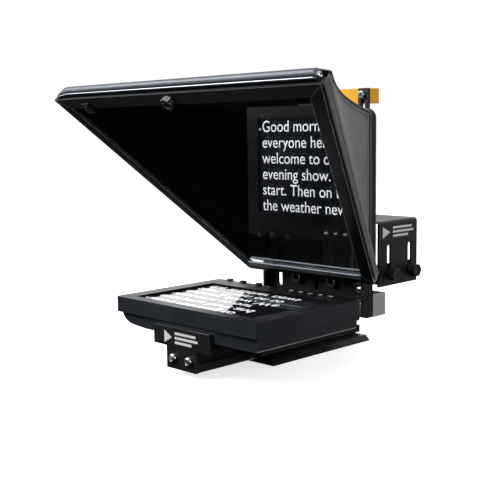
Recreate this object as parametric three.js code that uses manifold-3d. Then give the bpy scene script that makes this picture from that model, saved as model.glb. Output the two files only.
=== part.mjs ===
// On-camera teleprompter: a flat monitor lies face up on a rail, and a 45 degree beam-splitter glass in a
// trapezoid hood reflects it toward the talent, in front of the camera that stands on the riser behind.
// Millimetres. X right as the talent sees it, Y back toward the camera operator, Z up.
// The origin is the middle of the base plate's underside, where the tripod holds the teleprompter.
import * as THREE from 'three';
import { mergeVertices } from 'three/addons/utils/BufferGeometryUtils.js';
import Module from 'manifold-3d';

const wasm = await Module();
wasm.setup();

// ---- driving dimensions ----
const GAP = 0.3; // clearance between pieces that touch

const BASE_HALF = 40; // dovetail base plate, half width at the bottom
const BASE_LENGTH = 156;
const BASE_H = 6;
const BASE_FLARE = 5;

const RAIL_HALF = 21.5;
const RAIL_H = 22;
const RAIL_FRONT = -161.6;
const RAIL_BACK = 84;
const GROOVE_Z = BASE_H + 11; // centre line of the rail's side grooves
const GROOVE_H = 5;
const GROOVE_DEPTH = 4;
const RAIL_TOP = BASE_H + RAIL_H;

const FRONT_PLATE_T = 3.5;
const FRONT_PLATE_HALF = 40.8; // half width of the T's head
const FRONT_PLATE_TOP = 46.9;
const BOLT_X = 11.4; // the two bolts of the front plate
const BOLT_Z = 16.3;

const MONITOR_HALF = 103.5;
const MONITOR_DEPTH = 146.8;
const MONITOR_Y = -90.4; // centre of the monitor
const MONITOR_BOTTOM = 38.1;
const RIM_H = 16;
const HOUSING_H = 13;
const HOUSING_INSET = 3;
const BEZEL_SKIN = 2;
const BEZEL_WALL = 4.5;
const REVEAL = 0.35; // fine shadow lines around the rim
const SCREEN_W = 172;
const SCREEN_D = 108;
const SCREEN_Y = -6.6; // screen centre from the monitor centre
const BUTTON_COUNT = 5;
const BUTTON_FIRST_X = 17;
const BUTTON_PITCH = 13.5;
const BUTTON_Y = 65;
const BUTTON_W = 7;
const BUTTON_D = 4.4;
const CLIP_X = [-85, -64, -39]; // sun-hood clips along the monitor's back edge

const SADDLE_HALF = 42;
const SADDLE_LENGTH = 71;
const SADDLE_Y = -61.5;
const SADDLE_BOTTOM = 14.5;
const KNOB_STUD_R = 3;

const PLATE_Y = 34; // front face of the upright back plate
const PLATE_T = 7.3;
const PLATE_HALF = 73;
const PLATE_BOTTOM = 36;
const PLATE_TOP = 252;
const PLATE_FLANGE = 10;
const PLATE_FLANGE_TOP = 75;
const PLATE_BACK = PLATE_Y + PLATE_T;
const SLOT_X = 57.5;
const SLOT_W = 11;
const SLOT_Z = [57.5, 76];
const PLATE_BOLT_X = 25.5;
const PLATE_BOLT_Z = 71.2;
const EDGE_SCREW_X = 65;
const EDGE_SCREW_Z = 49;
const LENS_Z = 178;
const WINDOW_HALF = 50.5;
const WINDOW_Z = [116, 242];

const BLOCK_HALF = 30;
const BLOCK_DEPTH = 17;
const CHANNEL_HALF = 60;
const CHANNEL_Y = [59, 81];
const CHANNEL_Z = [32, 57];
const CHANNEL_WALL = 2;

const CRADLE_HALF = 46.5;
const CRADLE_Z = [63, 85];
const CRADLE_WALL = 3;
const CRADLE_BACK = 150;
const RISER_HALF = 50;
const RISER_Y = [82, 154];
const RISER_Z = [60.6, 134];
const RISER_WALL = 2.2;
const RISER_KNOB_Y = [100.5, 139.8];
const RISER_KNOB_Z = 74.5;
const RISER_SLOT_Z = [68, 107];
const RISER_SLOT_W = 6.4;
const CAMERA_SLOT_Y = [96, 140];
const CAMERA_SLOT_W = 7;
const CAMERA_SCREW_Y = 118;

const TILT = THREE.MathUtils.degToRad(135); // local Y runs up the slope and local Z faces the talent
const SLOPE_Y = 21.4; // foot of the glass plane
const SLOPE_Z = 77.4;
const SLOPE_LENGTH = 275.8;
const SLOPE_FOOT_HALF = 91.2;
const SLOPE_HEAD_HALF = 188;
const MEMBER_W = 14;
const MEMBER_WALL = 3;
const MEMBER_BACK = -7;
const LIP_FRONT = 2;
// Rolled edge along the frame's head: distance from its end, beyond the head's outer face, depth, radius.
// It runs out thin at its left end and stops square at its right end.
const ROLL_LEFT_END = [
  [0, 0.4, -2, 1.6],
  [4, 1.3, -3.1, 2.7],
  [11, 2.8, -4.9, 4.1],
  [22, 3.85, -6.15, 5],
];
const ROLL_RIGHT_END = [
  [0, 3.1, -5.3, 4.2],
  [2.5, 3.85, -6.15, 5],
];
const ROLL_SIDES = 16;
const GLASS_T = 3;
const LEDGE_HALF = 80.6;

const HEM_HALF = 78;
const HEM_TOP = 256.4;
const HEM_FRONT = PLATE_Y - 4;
const FABRIC_T = 1.6;
const FABRIC_OFF = MEMBER_BACK - GAP - 1.1; // mid-plane of the fabric behind the sloping frame
const FABRIC_HEAD_OFF = FABRIC_OFF - 3; // and behind the rolled edge
const SEAM_SAG = 11; // how far the side panels pull in between front and back
const TOP_CROWN = 4;

const BAR_HALF = 65;
const BAR_SECTION = [15, 16]; // depth and height of the cross bar
const BAR_TOP = 278.5;
const BRACKET_W = 12.3;
const BRACKET_T = 4.8;
const BRACKET_BOTTOM = 214;
const BAR_BOLT_Z = 271.4;

const MATERIALS = {
  black: { color: 0x191b1f, roughness: 0.45, metalness: 0.3 },
  plastic: { color: 0x23272e, roughness: 0.5, metalness: 0 },
  rubber: { color: 0x111214, roughness: 0.7, metalness: 0 },
  fabric: { color: 0x1c1f24, roughness: 0.9, metalness: 0 },
  silver: { color: 0xc4c8cc, roughness: 0.35, metalness: 1 },
  grey: { color: 0xa9adb1, roughness: 0.4, metalness: 0.9 },
  yellow: { color: 0xf2a516, roughness: 0.4, metalness: 0.1 },
  glass: { color: 0x8f9aa2, roughness: 0.02, metalness: 0 },
  screen: { color: 0x0a0c10, roughness: 0.08, metalness: 0 },
};

// ---- helpers ----
const object = new THREE.Group();

function piece(parent, name, materialName, geometry, x = 0, y = 0, z = 0) {
  const mesh = new THREE.Mesh(geometry, new THREE.MeshStandardMaterial(MATERIALS[materialName]));
  mesh.name = name;
  mesh.position.set(x, y, z);
  parent.add(mesh);
  return mesh;
}

function group(parent, x = 0, y = 0, z = 0) {
  const child = new THREE.Group();
  child.position.set(x, y, z);
  parent.add(child);
  return child;
}

function toSolid(geometry) {
  const bare = geometry.clone();
  bare.deleteAttribute('normal');
  bare.deleteAttribute('uv');
  const merged = mergeVertices(bare, 1e-4);
  const vertProperties = new Float32Array(merged.attributes.position.array);
  const triVerts = new Uint32Array(merged.index.array);
  return new wasm.Manifold(new wasm.Mesh({ numProp: 3, vertProperties, triVerts }));
}

function toGeometry(solid) {
  const mesh = solid.getMesh();
  const geometry = new THREE.BufferGeometry();
  geometry.setAttribute('position', new THREE.BufferAttribute(new Float32Array(mesh.vertProperties), 3));
  geometry.setIndex(new THREE.BufferAttribute(new Uint32Array(mesh.triVerts), 1));
  return geometry;
}

function combine(base, added = [], removed = []) {
  let result = toSolid(base);
  for (const geometry of added) result = result.add(toSolid(geometry));
  for (const geometry of removed) result = result.subtract(toSolid(geometry));
  return toGeometry(result);
}

function box(x0, x1, y0, y1, z0, z1) {
  const geometry = new THREE.BoxGeometry(x1 - x0, y1 - y0, z1 - z0);
  return geometry.translate((x0 + x1) / 2, (y0 + y1) / 2, (z0 + z1) / 2);
}

// A cylinder that starts at a point and runs along the axis 'x', 'y' or 'z'.
function rod(axis, radius, length, x, y, z, segments = 16) {
  const geometry = new THREE.CylinderGeometry(radius, radius, length, segments);
  geometry.translate(0, length / 2, 0);
  if (axis === 'x') geometry.rotateZ(-Math.PI / 2);
  if (axis === 'z') geometry.rotateX(Math.PI / 2);
  return geometry.translate(x, y, z);
}

function roundedRect(x0, x1, y0, y1, radius) {
  const shape = new THREE.Shape();
  shape.moveTo(x0 + radius, y0);
  shape.lineTo(x1 - radius, y0);
  shape.absarc(x1 - radius, y0 + radius, radius, -Math.PI / 2, 0);
  shape.lineTo(x1, y1 - radius);
  shape.absarc(x1 - radius, y1 - radius, radius, 0, Math.PI / 2);
  shape.lineTo(x0 + radius, y1);
  shape.absarc(x0 + radius, y1 - radius, radius, Math.PI / 2, Math.PI);
  shape.lineTo(x0, y0 + radius);
  shape.absarc(x0 + radius, y0 + radius, radius, Math.PI, 1.5 * Math.PI);
  return shape;
}

function extrude(shape, z0, z1, curveSegments = 4) {
  const geometry = new THREE.ExtrudeGeometry(shape, { depth: z1 - z0, bevelEnabled: false, curveSegments });
  return geometry.translate(0, 0, z0);
}

// Extrudes a shape drawn in X and Z along Y.
function extrudeY(shape, y0, y1, curveSegments = 4) {
  const geometry = extrude(shape, -y1, -y0, curveSegments);
  return geometry.rotateX(Math.PI / 2);
}

// Extrudes a shape drawn in Y and Z along X.
function extrudeX(shape, x0, x1, curveSegments = 4) {
  const geometry = extrude(shape, x0, x1, curveSegments);
  return geometry.rotateY(Math.PI / 2).rotateX(Math.PI / 2);
}

function polygon(points) {
  return new THREE.Shape(points.map(([x, y]) => new THREE.Vector2(x, y)));
}

// A closed thin solid on both sides of the surface at(u, v), u and v from 0 to 1.
function sheet(at, uCount, vCount, thickness) {
  const positions = [];
  const indices = [];
  const step = 1e-3;
  const row = vCount + 1;
  const layer = (uCount + 1) * row;
  for (const side of [1, -1]) {
    for (let i = 0; i <= uCount; i += 1) {
      for (let j = 0; j <= vCount; j += 1) {
        const u = i / uCount;
        const v = j / vCount;
        const alongU = at(u + step, v).sub(at(u - step, v));
        const alongV = at(u, v + step).sub(at(u, v - step));
        const normal = alongU.cross(alongV).normalize();
        const point = at(u, v).addScaledVector(normal, (side * thickness) / 2);
        positions.push(point.x, point.y, point.z);
      }
    }
  }
  const quad = (a, b, c, d) => indices.push(a, b, c, a, c, d);
  for (let i = 0; i < uCount; i += 1) {
    for (let j = 0; j < vCount; j += 1) {
      const a = i * row + j;
      quad(a, a + row, a + row + 1, a + 1);
      quad(layer + a, layer + a + 1, layer + a + row + 1, layer + a + row);
    }
  }
  for (let i = 0; i < uCount; i += 1) {
    const a = i * row;
    quad(a, layer + a, layer + a + row, a + row);
    const b = a + vCount;
    quad(b, b + row, layer + b + row, layer + b);
  }
  for (let j = 0; j < vCount; j += 1) {
    quad(j, j + 1, layer + j + 1, layer + j);
    const b = uCount * row + j;
    quad(b, layer + b, layer + b + 1, b + 1);
  }
  const geometry = new THREE.BufferGeometry();
  geometry.setAttribute('position', new THREE.Float32BufferAttribute(positions, 3));
  geometry.setIndex(indices);
  return geometry;
}

// A screw along Y: a head of the given radius with a hex socket, and its shank behind it.
function headedScrew(headRadius, headLength, shankRadius, shankLength, rounded = false) {
  const profile = [new THREE.Vector2(0, -headLength)];
  if (rounded) {
    profile.push(new THREE.Vector2(headRadius * 0.55, -headLength));
    profile.push(new THREE.Vector2(headRadius * 0.88, -headLength * 0.6));
  } else {
    profile.push(new THREE.Vector2(headRadius - 0.5, -headLength));
    profile.push(new THREE.Vector2(headRadius, -headLength + 0.5));
  }
  profile.push(new THREE.Vector2(headRadius, 0));
  profile.push(new THREE.Vector2(shankRadius, 0));
  profile.push(new THREE.Vector2(shankRadius, shankLength));
  profile.push(new THREE.Vector2(0, shankLength));
  const body = new THREE.LatheGeometry(profile, 14);
  const socketRadius = headRadius * 0.48;
  const socket = new THREE.CylinderGeometry(socketRadius, socketRadius, headLength * 1.2, 6);
  socket.translate(0, -headLength, 0);
  return combine(body, [], [socket]);
}

// A hand knob along Y, its face toward -Y, with scalloped grip and a stud toward +Y.
function handKnob(radius, height, lobes, studRadius, studLength) {
  const outline = new THREE.Shape();
  const steps = lobes * 4;
  for (let i = 0; i < steps; i += 1) {
    const angle = (2 * Math.PI * i) / steps;
    const r = radius * (0.94 + 0.06 * Math.cos(lobes * angle));
    if (i === 0) outline.moveTo(r, 0);
    else outline.lineTo(r * Math.cos(angle), r * Math.sin(angle));
  }
  const grip = extrude(outline, 0, height * 0.75).rotateX(Math.PI / 2);
  const collar = rod('y', radius * 0.6, height * 0.3, 0, -height * 0.3, 0);
  grip.translate(0, -height * 0.25, 0);
  const stud = rod('y', studRadius, studLength + height * 0.5, 0, -height * 0.5, 0, 12);
  const dish = rod('y', radius * 0.55, height * 0.12, 0, -height * 1.06, 0);
  return combine(grip, [collar, stud], [dish]);
}

// ---- base plate and rail ----
function buildBase() {
  const section = polygon([
    [-BASE_HALF, 0],
    [BASE_HALF, 0],
    [BASE_HALF, 1.2],
    [BASE_HALF - BASE_FLARE, BASE_H - GAP],
    [-BASE_HALF + BASE_FLARE, BASE_H - GAP],
    [-BASE_HALF, 1.2],
  ]);
  const half = BASE_LENGTH / 2;
  const slots = [];
  for (const side of [-1, 1]) {
    const middle = side * 45;
    slots.push(extrude(roundedRect(-5, 5, middle - 16, middle + 16, 4.9), -1, BASE_H + 1));
  }
  const holes = [];
  for (const y of [-68, 68]) holes.push(rod('z', 5, 4, 0, y, -0.2));
  piece(object, 'base_plate', 'black', combine(extrudeY(section, -half, half), [], [...slots, ...holes]));
}

function buildRail() {
  const w = RAIL_HALF;
  const inner = w - GROOVE_DEPTH;
  const g0 = GROOVE_Z - GROOVE_H / 2;
  const g1 = GROOVE_Z + GROOVE_H / 2;
  const section = polygon([
    [-w + 1, BASE_H],
    [w - 1, BASE_H],
    [w, BASE_H + 1],
    [w, g0],
    [inner, g0],
    [inner, g1],
    [w, g1],
    [w, RAIL_TOP - 1],
    [w - 1, RAIL_TOP],
    [8, RAIL_TOP],
    [8, RAIL_TOP - 2.4],
    [-8, RAIL_TOP - 2.4],
    [-8, RAIL_TOP],
    [-w + 1, RAIL_TOP],
    [-w, RAIL_TOP - 1],
    [-w, g1],
    [-inner, g1],
    [-inner, g0],
    [-w, g0],
    [-w, BASE_H + 1],
  ]);
  const length = RAIL_BACK - RAIL_FRONT + 2;
  const cores = [-BOLT_X, BOLT_X].map((x) => rod('y', 3, length, x, RAIL_FRONT - 1, BOLT_Z, 12));
  piece(object, 'rail', 'black', combine(extrudeY(section, RAIL_FRONT, RAIL_BACK), [], cores));
}

function buildFrontPlate() {
  const back = RAIL_FRONT - GAP;
  const front = back - FRONT_PLATE_T;
  const outline = polygon([
    [-RAIL_HALF, BASE_H],
    [RAIL_HALF, BASE_H],
    [RAIL_HALF, RAIL_TOP],
    [FRONT_PLATE_HALF, RAIL_TOP],
    [FRONT_PLATE_HALF, FRONT_PLATE_TOP],
    [-FRONT_PLATE_HALF, FRONT_PLATE_TOP],
    [-FRONT_PLATE_HALF, RAIL_TOP],
    [-RAIL_HALF, RAIL_TOP],
  ]);
  const holes = [-BOLT_X, BOLT_X].map((x) => rod('y', 2.8, FRONT_PLATE_T + 2, x, front - 1, BOLT_Z, 12));
  piece(object, 'front_plate', 'black', combine(extrudeY(outline, front, back), [], holes));
  for (const [index, x] of [-BOLT_X, BOLT_X].entries()) {
    const bolt = headedScrew(5, 3, 2.4, 14, true);
    piece(object, `front_bolt_${index + 1}`, 'silver', bolt, x, front - GAP, BOLT_Z);
  }
}

// ---- monitor and its saddle ----
function buildSaddle() {
  const y0 = SADDLE_Y - SADDLE_LENGTH / 2 - 0.1;
  const y1 = y0 + SADDLE_LENGTH;
  const top = MONITOR_BOTTOM - GAP;
  const outer = box(-SADDLE_HALF, SADDLE_HALF, y0, y1, SADDLE_BOTTOM, top);
  const tunnel = box(-RAIL_HALF - 0.4, RAIL_HALF + 0.4, y0 - 1, y1 + 1, SADDLE_BOTTOM - 1, RAIL_TOP + 0.4);
  const ribs = [];
  for (const side of [-1, 1]) {
    const inner = side * (RAIL_HALF - GROOVE_DEPTH + 1);
    const outside = side * (RAIL_HALF + 2);
    ribs.push(box(Math.min(inner, outside), Math.max(inner, outside), y0, y1, GROOVE_Z - 2, GROOVE_Z + 2));
  }
  const bevels = [];
  for (const side of [-1, 1]) {
    const corner = box(-4, 4, y0 - 1, y1 + 1, -4, 4).rotateY(Math.PI / 4);
    bevels.push(corner.translate(side * (SADDLE_HALF + 1.5), 0, top + 1.5));
  }
  const studHole = rod('x', KNOB_STUD_R + 0.4, 25, -SADDLE_HALF - 1, SADDLE_Y, 24);
  const cut = combine(outer, [], [tunnel, ...bevels]);
  return combine(combine(cut, ribs), [], [studHole]);
}

function buildBezel() {
  const half = MONITOR_DEPTH / 2;
  const z0 = HOUSING_H + 0.1;
  const z1 = z0 + RIM_H;
  const outer = extrude(roundedRect(-MONITOR_HALF, MONITOR_HALF, -half, half, 2.5), z0, z1);
  const pocketHalf = MONITOR_HALF - BEZEL_WALL;
  const pocket = box(-pocketHalf, pocketHalf, -half + BEZEL_WALL, half - BEZEL_WALL, z0 - 1, z1 - BEZEL_SKIN);
  const sy = SCREEN_Y;
  const window = box(-SCREEN_W / 2, SCREEN_W / 2, sy - SCREEN_D / 2, sy + SCREEN_D / 2, z1 - 3, z1 + 1);
  const holes = [];
  for (let i = 0; i < BUTTON_COUNT; i += 1) {
    const x = BUTTON_FIRST_X + i * BUTTON_PITCH;
    const w = BUTTON_W / 2 + 0.4;
    const d = BUTTON_D / 2 + 0.4;
    holes.push(extrude(roundedRect(x - w, x + w, BUTTON_Y - d, BUTTON_Y + d, 1.4), z1 - 3, z1 + 1));
  }
  const reveals = [];
  for (const z of [z0 + 5, z0 + 10.5]) {
    const ring = box(-MONITOR_HALF - 1, MONITOR_HALF + 1, -half - 1, half + 1, z, z + REVEAL);
    const coreX = MONITOR_HALF - REVEAL;
    const coreY = half - REVEAL;
    const core = extrude(roundedRect(-coreX, coreX, -coreY, coreY, 2), z - 1, z + 2, 3);
    reveals.push(combine(ring, [], [core]));
  }
  return combine(outer, [], [pocket, window, ...holes, ...reveals]);
}

function buildHousing() {
  const half = MONITOR_HALF - HOUSING_INSET;
  const profile = new THREE.Shape();
  profile.moveTo(-60, 0);
  profile.lineTo(half - 3, 0);
  profile.absarc(half - 3, 3, 3, -Math.PI / 2, 0);
  profile.lineTo(half, HOUSING_H - GAP);
  profile.lineTo(-half + 3, HOUSING_H - GAP);
  profile.quadraticCurveTo(-half + 6, 3.2, -80, 1.6);
  const y = MONITOR_DEPTH / 2 - HOUSING_INSET;
  const shell = extrudeY(profile, -y, y);
  const vents = [];
  for (let i = 0; i < 8; i += 1) {
    const x = -36 + i * 8;
    vents.push(box(x, x + 3, y - 2, y + 1, 4, 10));
  }
  const portRecess = box(48, 86, y - 5, y + 1, 2.5, 11);
  return combine(shell, [], [...vents, portRecess]);
}

function buildMonitor() {
  const monitor = group(object, 0, MONITOR_Y, MONITOR_BOTTOM);
  const rimTop = HOUSING_H + 0.1 + RIM_H;
  piece(monitor, 'monitor_housing', 'plastic', buildHousing());
  piece(monitor, 'monitor_bezel', 'plastic', buildBezel());
  const halfW = SCREEN_W / 2 + 8;
  const halfD = SCREEN_D / 2 + 7;
  const panel = box(-halfW, halfW, SCREEN_Y - halfD, SCREEN_Y + halfD, HOUSING_H, rimTop - BEZEL_SKIN - GAP);
  piece(monitor, 'lcd_panel', 'screen', panel);
  for (let i = 0; i < BUTTON_COUNT; i += 1) {
    const cap = extrude(roundedRect(-BUTTON_W / 2, BUTTON_W / 2, -BUTTON_D / 2, BUTTON_D / 2, 1.2), 0, 4.6);
    const x = BUTTON_FIRST_X + i * BUTTON_PITCH;
    piece(monitor, `button_${i + 1}`, 'rubber', cap, x, BUTTON_Y, rimTop - 3.6);
  }
  for (const [index, x] of CLIP_X.entries()) {
    const hook = combine(box(-3, 3, -3.2, 2.4, GAP, 1.8), [box(-3, 3, GAP, 2.4, -7, 1)]);
    piece(monitor, `edge_clip_${index + 1}`, 'rubber', hook, x, MONITOR_DEPTH / 2, rimTop);
  }
  const socketY = MONITOR_DEPTH / 2 - HOUSING_INSET - 5;
  const video = combine(box(-6, 6, GAP, 4.6, -2.6, 2.6), [], [box(-5, 5, 1.5, 6, -1.6, 1.6)]);
  piece(monitor, 'video_socket', 'grey', video, 56, socketY, 6.7);
  const power = combine(rod('y', 3.4, 4.3, 0, GAP, 0), [], [rod('y', 2.2, 4, 0, 1.5, 0)]);
  piece(monitor, 'power_socket', 'grey', power, 78, socketY, 6.7);
  piece(object, 'monitor_saddle', 'black', buildSaddle());
  const knob = handKnob(12, 14, 8, KNOB_STUD_R, 17).rotateZ(-Math.PI / 2);
  piece(object, 'saddle_knob', 'rubber', knob, -SADDLE_HALF - GAP, SADDLE_Y, 24);
}

// ---- upright back plate and the support behind it ----
function buildBackPlate() {
  const web = extrudeY(roundedRect(-PLATE_HALF, PLATE_HALF, PLATE_BOTTOM, PLATE_TOP, 3), PLATE_Y, PLATE_BACK);
  const flanges = [];
  for (const side of [-1, 1]) {
    const x0 = Math.min(side * PLATE_HALF, side * (PLATE_HALF - 3));
    flanges.push(box(x0, x0 + 3, PLATE_Y - PLATE_FLANGE, PLATE_Y + 1, PLATE_BOTTOM + 3, PLATE_FLANGE_TOP));
  }
  const through = (shape) => extrudeY(shape, PLATE_Y - 1, PLATE_BACK + 1);
  const cuts = [through(roundedRect(-WINDOW_HALF, WINDOW_HALF, WINDOW_Z[0], WINDOW_Z[1], 8))];
  const w = SLOT_W / 2;
  for (const x of [-SLOT_X, SLOT_X]) cuts.push(through(roundedRect(x - w, x + w, SLOT_Z[0], SLOT_Z[1], 4)));
  cuts.push(through(roundedRect(-2.6, 2.6, SLOT_Z[0] + 1, SLOT_Z[1] + 3, 2.5)));
  for (const x of [-PLATE_BOLT_X, PLATE_BOLT_X]) {
    cuts.push(rod('y', 3.4, PLATE_T + 2, x, PLATE_Y - 1, PLATE_BOLT_Z));
  }
  for (const x of [-EDGE_SCREW_X, EDGE_SCREW_X]) {
    cuts.push(rod('y', 2.4, PLATE_T + 2, x, PLATE_Y - 1, EDGE_SCREW_Z, 12));
  }
  piece(object, 'back_plate', 'black', combine(web, flanges, cuts));
  for (const [index, x] of [-PLATE_BOLT_X, PLATE_BOLT_X].entries()) {
    const bolt = headedScrew(6.4, 6, 3, 11);
    piece(object, `plate_bolt_${index + 1}`, 'black', bolt, x, PLATE_Y - GAP, PLATE_BOLT_Z);
  }
  for (const [index, x] of [-EDGE_SCREW_X, EDGE_SCREW_X].entries()) {
    const screw = headedScrew(4.3, 3.4, 2, 7, true);
    piece(object, `edge_screw_${index + 1}`, 'silver', screw, x, PLATE_Y - GAP, EDGE_SCREW_Z);
  }
}

function buildSupport() {
  const blockY = PLATE_BACK + GAP;
  const blockTop = CRADLE_Z[0] - GAP;
  const block = box(-BLOCK_HALF, BLOCK_HALF, blockY, blockY + BLOCK_DEPTH, RAIL_TOP + GAP, blockTop);
  piece(object, 'upright_block', 'black', block);
  const [y0, y1] = CHANNEL_Y;
  const [z0, z1] = CHANNEL_Z;
  const t = CHANNEL_WALL;
  const trough = box(-CHANNEL_HALF, CHANNEL_HALF, y0, y1, z0, z1);
  const hollow = box(-CHANNEL_HALF + t, CHANNEL_HALF - t, y0 + t, y1 - t, z0 + t, z1 + 1);
  piece(object, 'cross_channel', 'grey', combine(trough, [], [hollow]));
  const pad = box(-RAIL_HALF, RAIL_HALF, y0 + 1, y1 - 1, RAIL_TOP + GAP, z0 - GAP);
  piece(object, 'channel_pad', 'black', pad);
}

function buildCradle() {
  const front = PLATE_BACK + GAP;
  const [z0, z1] = CRADLE_Z;
  const t = CRADLE_WALL;
  const floorFront = box(-40, 40, front, RISER_Y[0] + 6, z0, z0 + 4);
  const additions = [
    box(-CRADLE_HALF, CRADLE_HALF, RISER_Y[0] + 2, CRADLE_BACK, z0, z0 + 4),
    box(-CRADLE_HALF, -CRADLE_HALF + t, RISER_Y[0] + 2, CRADLE_BACK, z0, z1),
    box(CRADLE_HALF - t, CRADLE_HALF, RISER_Y[0] + 2, CRADLE_BACK, z0, z1),
    box(-40, 40, front, front + 4, z0, z1 + 6),
  ];
  const cuts = [];
  for (const x of [-PLATE_BOLT_X, PLATE_BOLT_X]) cuts.push(rod('y', 3.4, 6, x, front - 1, PLATE_BOLT_Z));
  for (const y of RISER_KNOB_Y) {
    const notch = roundedRect(y - 2.6, y + 2.6, RISER_KNOB_Z - 2.6, z1 + 5, 2.5); // the stud drops in
    cuts.push(extrudeX(notch, -CRADLE_HALF - 1, CRADLE_HALF + 1));
  }
  cuts.push(extrude(roundedRect(-22, 22, RISER_Y[0] + 12, CRADLE_BACK - 12, 6), z0 - 1, z0 + 5));
  piece(object, 'camera_cradle', 'black', combine(floorFront, additions, cuts));
}

function buildRiser() {
  const [y0, y1] = RISER_Y;
  const [z0, z1] = RISER_Z;
  const t = RISER_WALL;
  const radius = 4;
  const outline = new THREE.Shape();
  outline.moveTo(-RISER_HALF, z0);
  outline.lineTo(-RISER_HALF + t, z0);
  outline.lineTo(-RISER_HALF + t, z1 - t);
  outline.lineTo(RISER_HALF - t, z1 - t);
  outline.lineTo(RISER_HALF - t, z0);
  outline.lineTo(RISER_HALF, z0);
  outline.lineTo(RISER_HALF, z1 - radius);
  outline.absarc(RISER_HALF - radius, z1 - radius, radius, 0, Math.PI / 2);
  outline.lineTo(-RISER_HALF + radius, z1);
  outline.absarc(-RISER_HALF + radius, z1 - radius, radius, Math.PI / 2, Math.PI);
  const cuts = [];
  const w = RISER_SLOT_W / 2;
  for (const y of RISER_KNOB_Y) {
    const slot = roundedRect(y - w, y + w, RISER_SLOT_Z[0], RISER_SLOT_Z[1], w - 0.1);
    cuts.push(extrudeX(slot, -RISER_HALF - 1, RISER_HALF + 1));
  }
  const c = CAMERA_SLOT_W / 2;
  cuts.push(extrude(roundedRect(-c, c, CAMERA_SLOT_Y[0], CAMERA_SLOT_Y[1], c - 0.1), z1 - t - 1, z1 + 1));
  piece(object, 'camera_riser', 'black', combine(extrudeY(outline, y0, y1), [], cuts));
  let index = 1;
  for (const side of [-1, 1]) {
    for (const y of RISER_KNOB_Y) {
      const knob = handKnob(7.6, 11, 6, 2.1, 8).rotateZ((side * Math.PI) / 2);
      piece(object, `riser_knob_${index}`, 'rubber', knob, side * (RISER_HALF + GAP), y, RISER_KNOB_Z);
      index += 1;
    }
  }
  const underside = z1 - t - GAP;
  const washer = combine(rod('z', 9, 1.6, 0, 0, -1.6), [], [rod('z', 3.5, 4, 0, 0, -3, 12)]);
  piece(object, 'camera_washer', 'silver', washer, 0, CAMERA_SCREW_Y, underside);
  const screw = handKnob(9, 9, 10, 3.1, 12.5).rotateX(Math.PI / 2);
  piece(object, 'camera_screw', 'silver', screw, 0, CAMERA_SCREW_Y, underside - 1.6 - GAP);
}

// ---- sloping frame with the beam-splitter glass ----
const SIDE_ANGLE = Math.atan((SLOPE_HEAD_HALF - SLOPE_FOOT_HALF) / SLOPE_LENGTH);

function slopeHalf(v) {
  return SLOPE_FOOT_HALF + (SLOPE_HEAD_HALF - SLOPE_FOOT_HALF) * (v / SLOPE_LENGTH);
}

// The frame's outline moved inward, counter-clockwise from the foot's left corner.
function trapezoid(inset) {
  const side = inset / Math.cos(SIDE_ANGLE);
  const foot = slopeHalf(inset) - side;
  const head = slopeHalf(SLOPE_LENGTH - inset) - side;
  const top = SLOPE_LENGTH - inset;
  return [[-foot, inset], [foot, inset], [head, top], [-head, top]].map(([x, y]) => new THREE.Vector2(x, y));
}

function rolledEdge(half) {
  const left = ROLL_LEFT_END.map(([x, v, w, r]) => [x - half, v, w, r]);
  const right = ROLL_RIGHT_END.map(([x, v, w, r]) => [half - x, v, w, r]).reverse();
  const stations = [...left, ...right];
  const points = [];
  for (const [x, v, w, r] of stations) {
    for (let k = 0; k < ROLL_SIDES; k += 1) {
      const angle = (2 * Math.PI * k) / ROLL_SIDES;
      points.push(x, SLOPE_LENGTH + v + r * Math.cos(angle), w + r * Math.sin(angle));
    }
  }
  const indices = [];
  const last = (stations.length - 1) * ROLL_SIDES;
  for (let k = 0; k < ROLL_SIDES; k += 1) {
    const m = (k + 1) % ROLL_SIDES;
    for (let ring = 0; ring < last; ring += ROLL_SIDES) {
      indices.push(ring + k, ring + m, ring + ROLL_SIDES + m);
      indices.push(ring + k, ring + ROLL_SIDES + m, ring + ROLL_SIDES + k);
    }
    if (k > 0 && m > 0) {
      indices.push(0, m, k);
      indices.push(last, last + k, last + m);
    }
  }
  const geometry = new THREE.BufferGeometry();
  geometry.setAttribute('position', new THREE.Float32BufferAttribute(points, 3));
  geometry.setIndex(indices);
  return geometry;
}

// One mitred side of the frame, from corner i to the next, between two insets.
function mitredStrip(i, inset0, inset1, z0, z1) {
  const outer = trapezoid(inset0);
  const inner = trapezoid(inset1);
  const j = (i + 1) % 4;
  const along = outer[j].clone().sub(outer[i]).normalize().multiplyScalar(GAP * 0.8);
  const corners = [
    outer[i].clone().add(along),
    outer[j].clone().sub(along),
    inner[j].clone().sub(along),
    inner[i].clone().add(along),
  ];
  return extrude(new THREE.Shape(corners), z0, z1);
}

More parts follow.
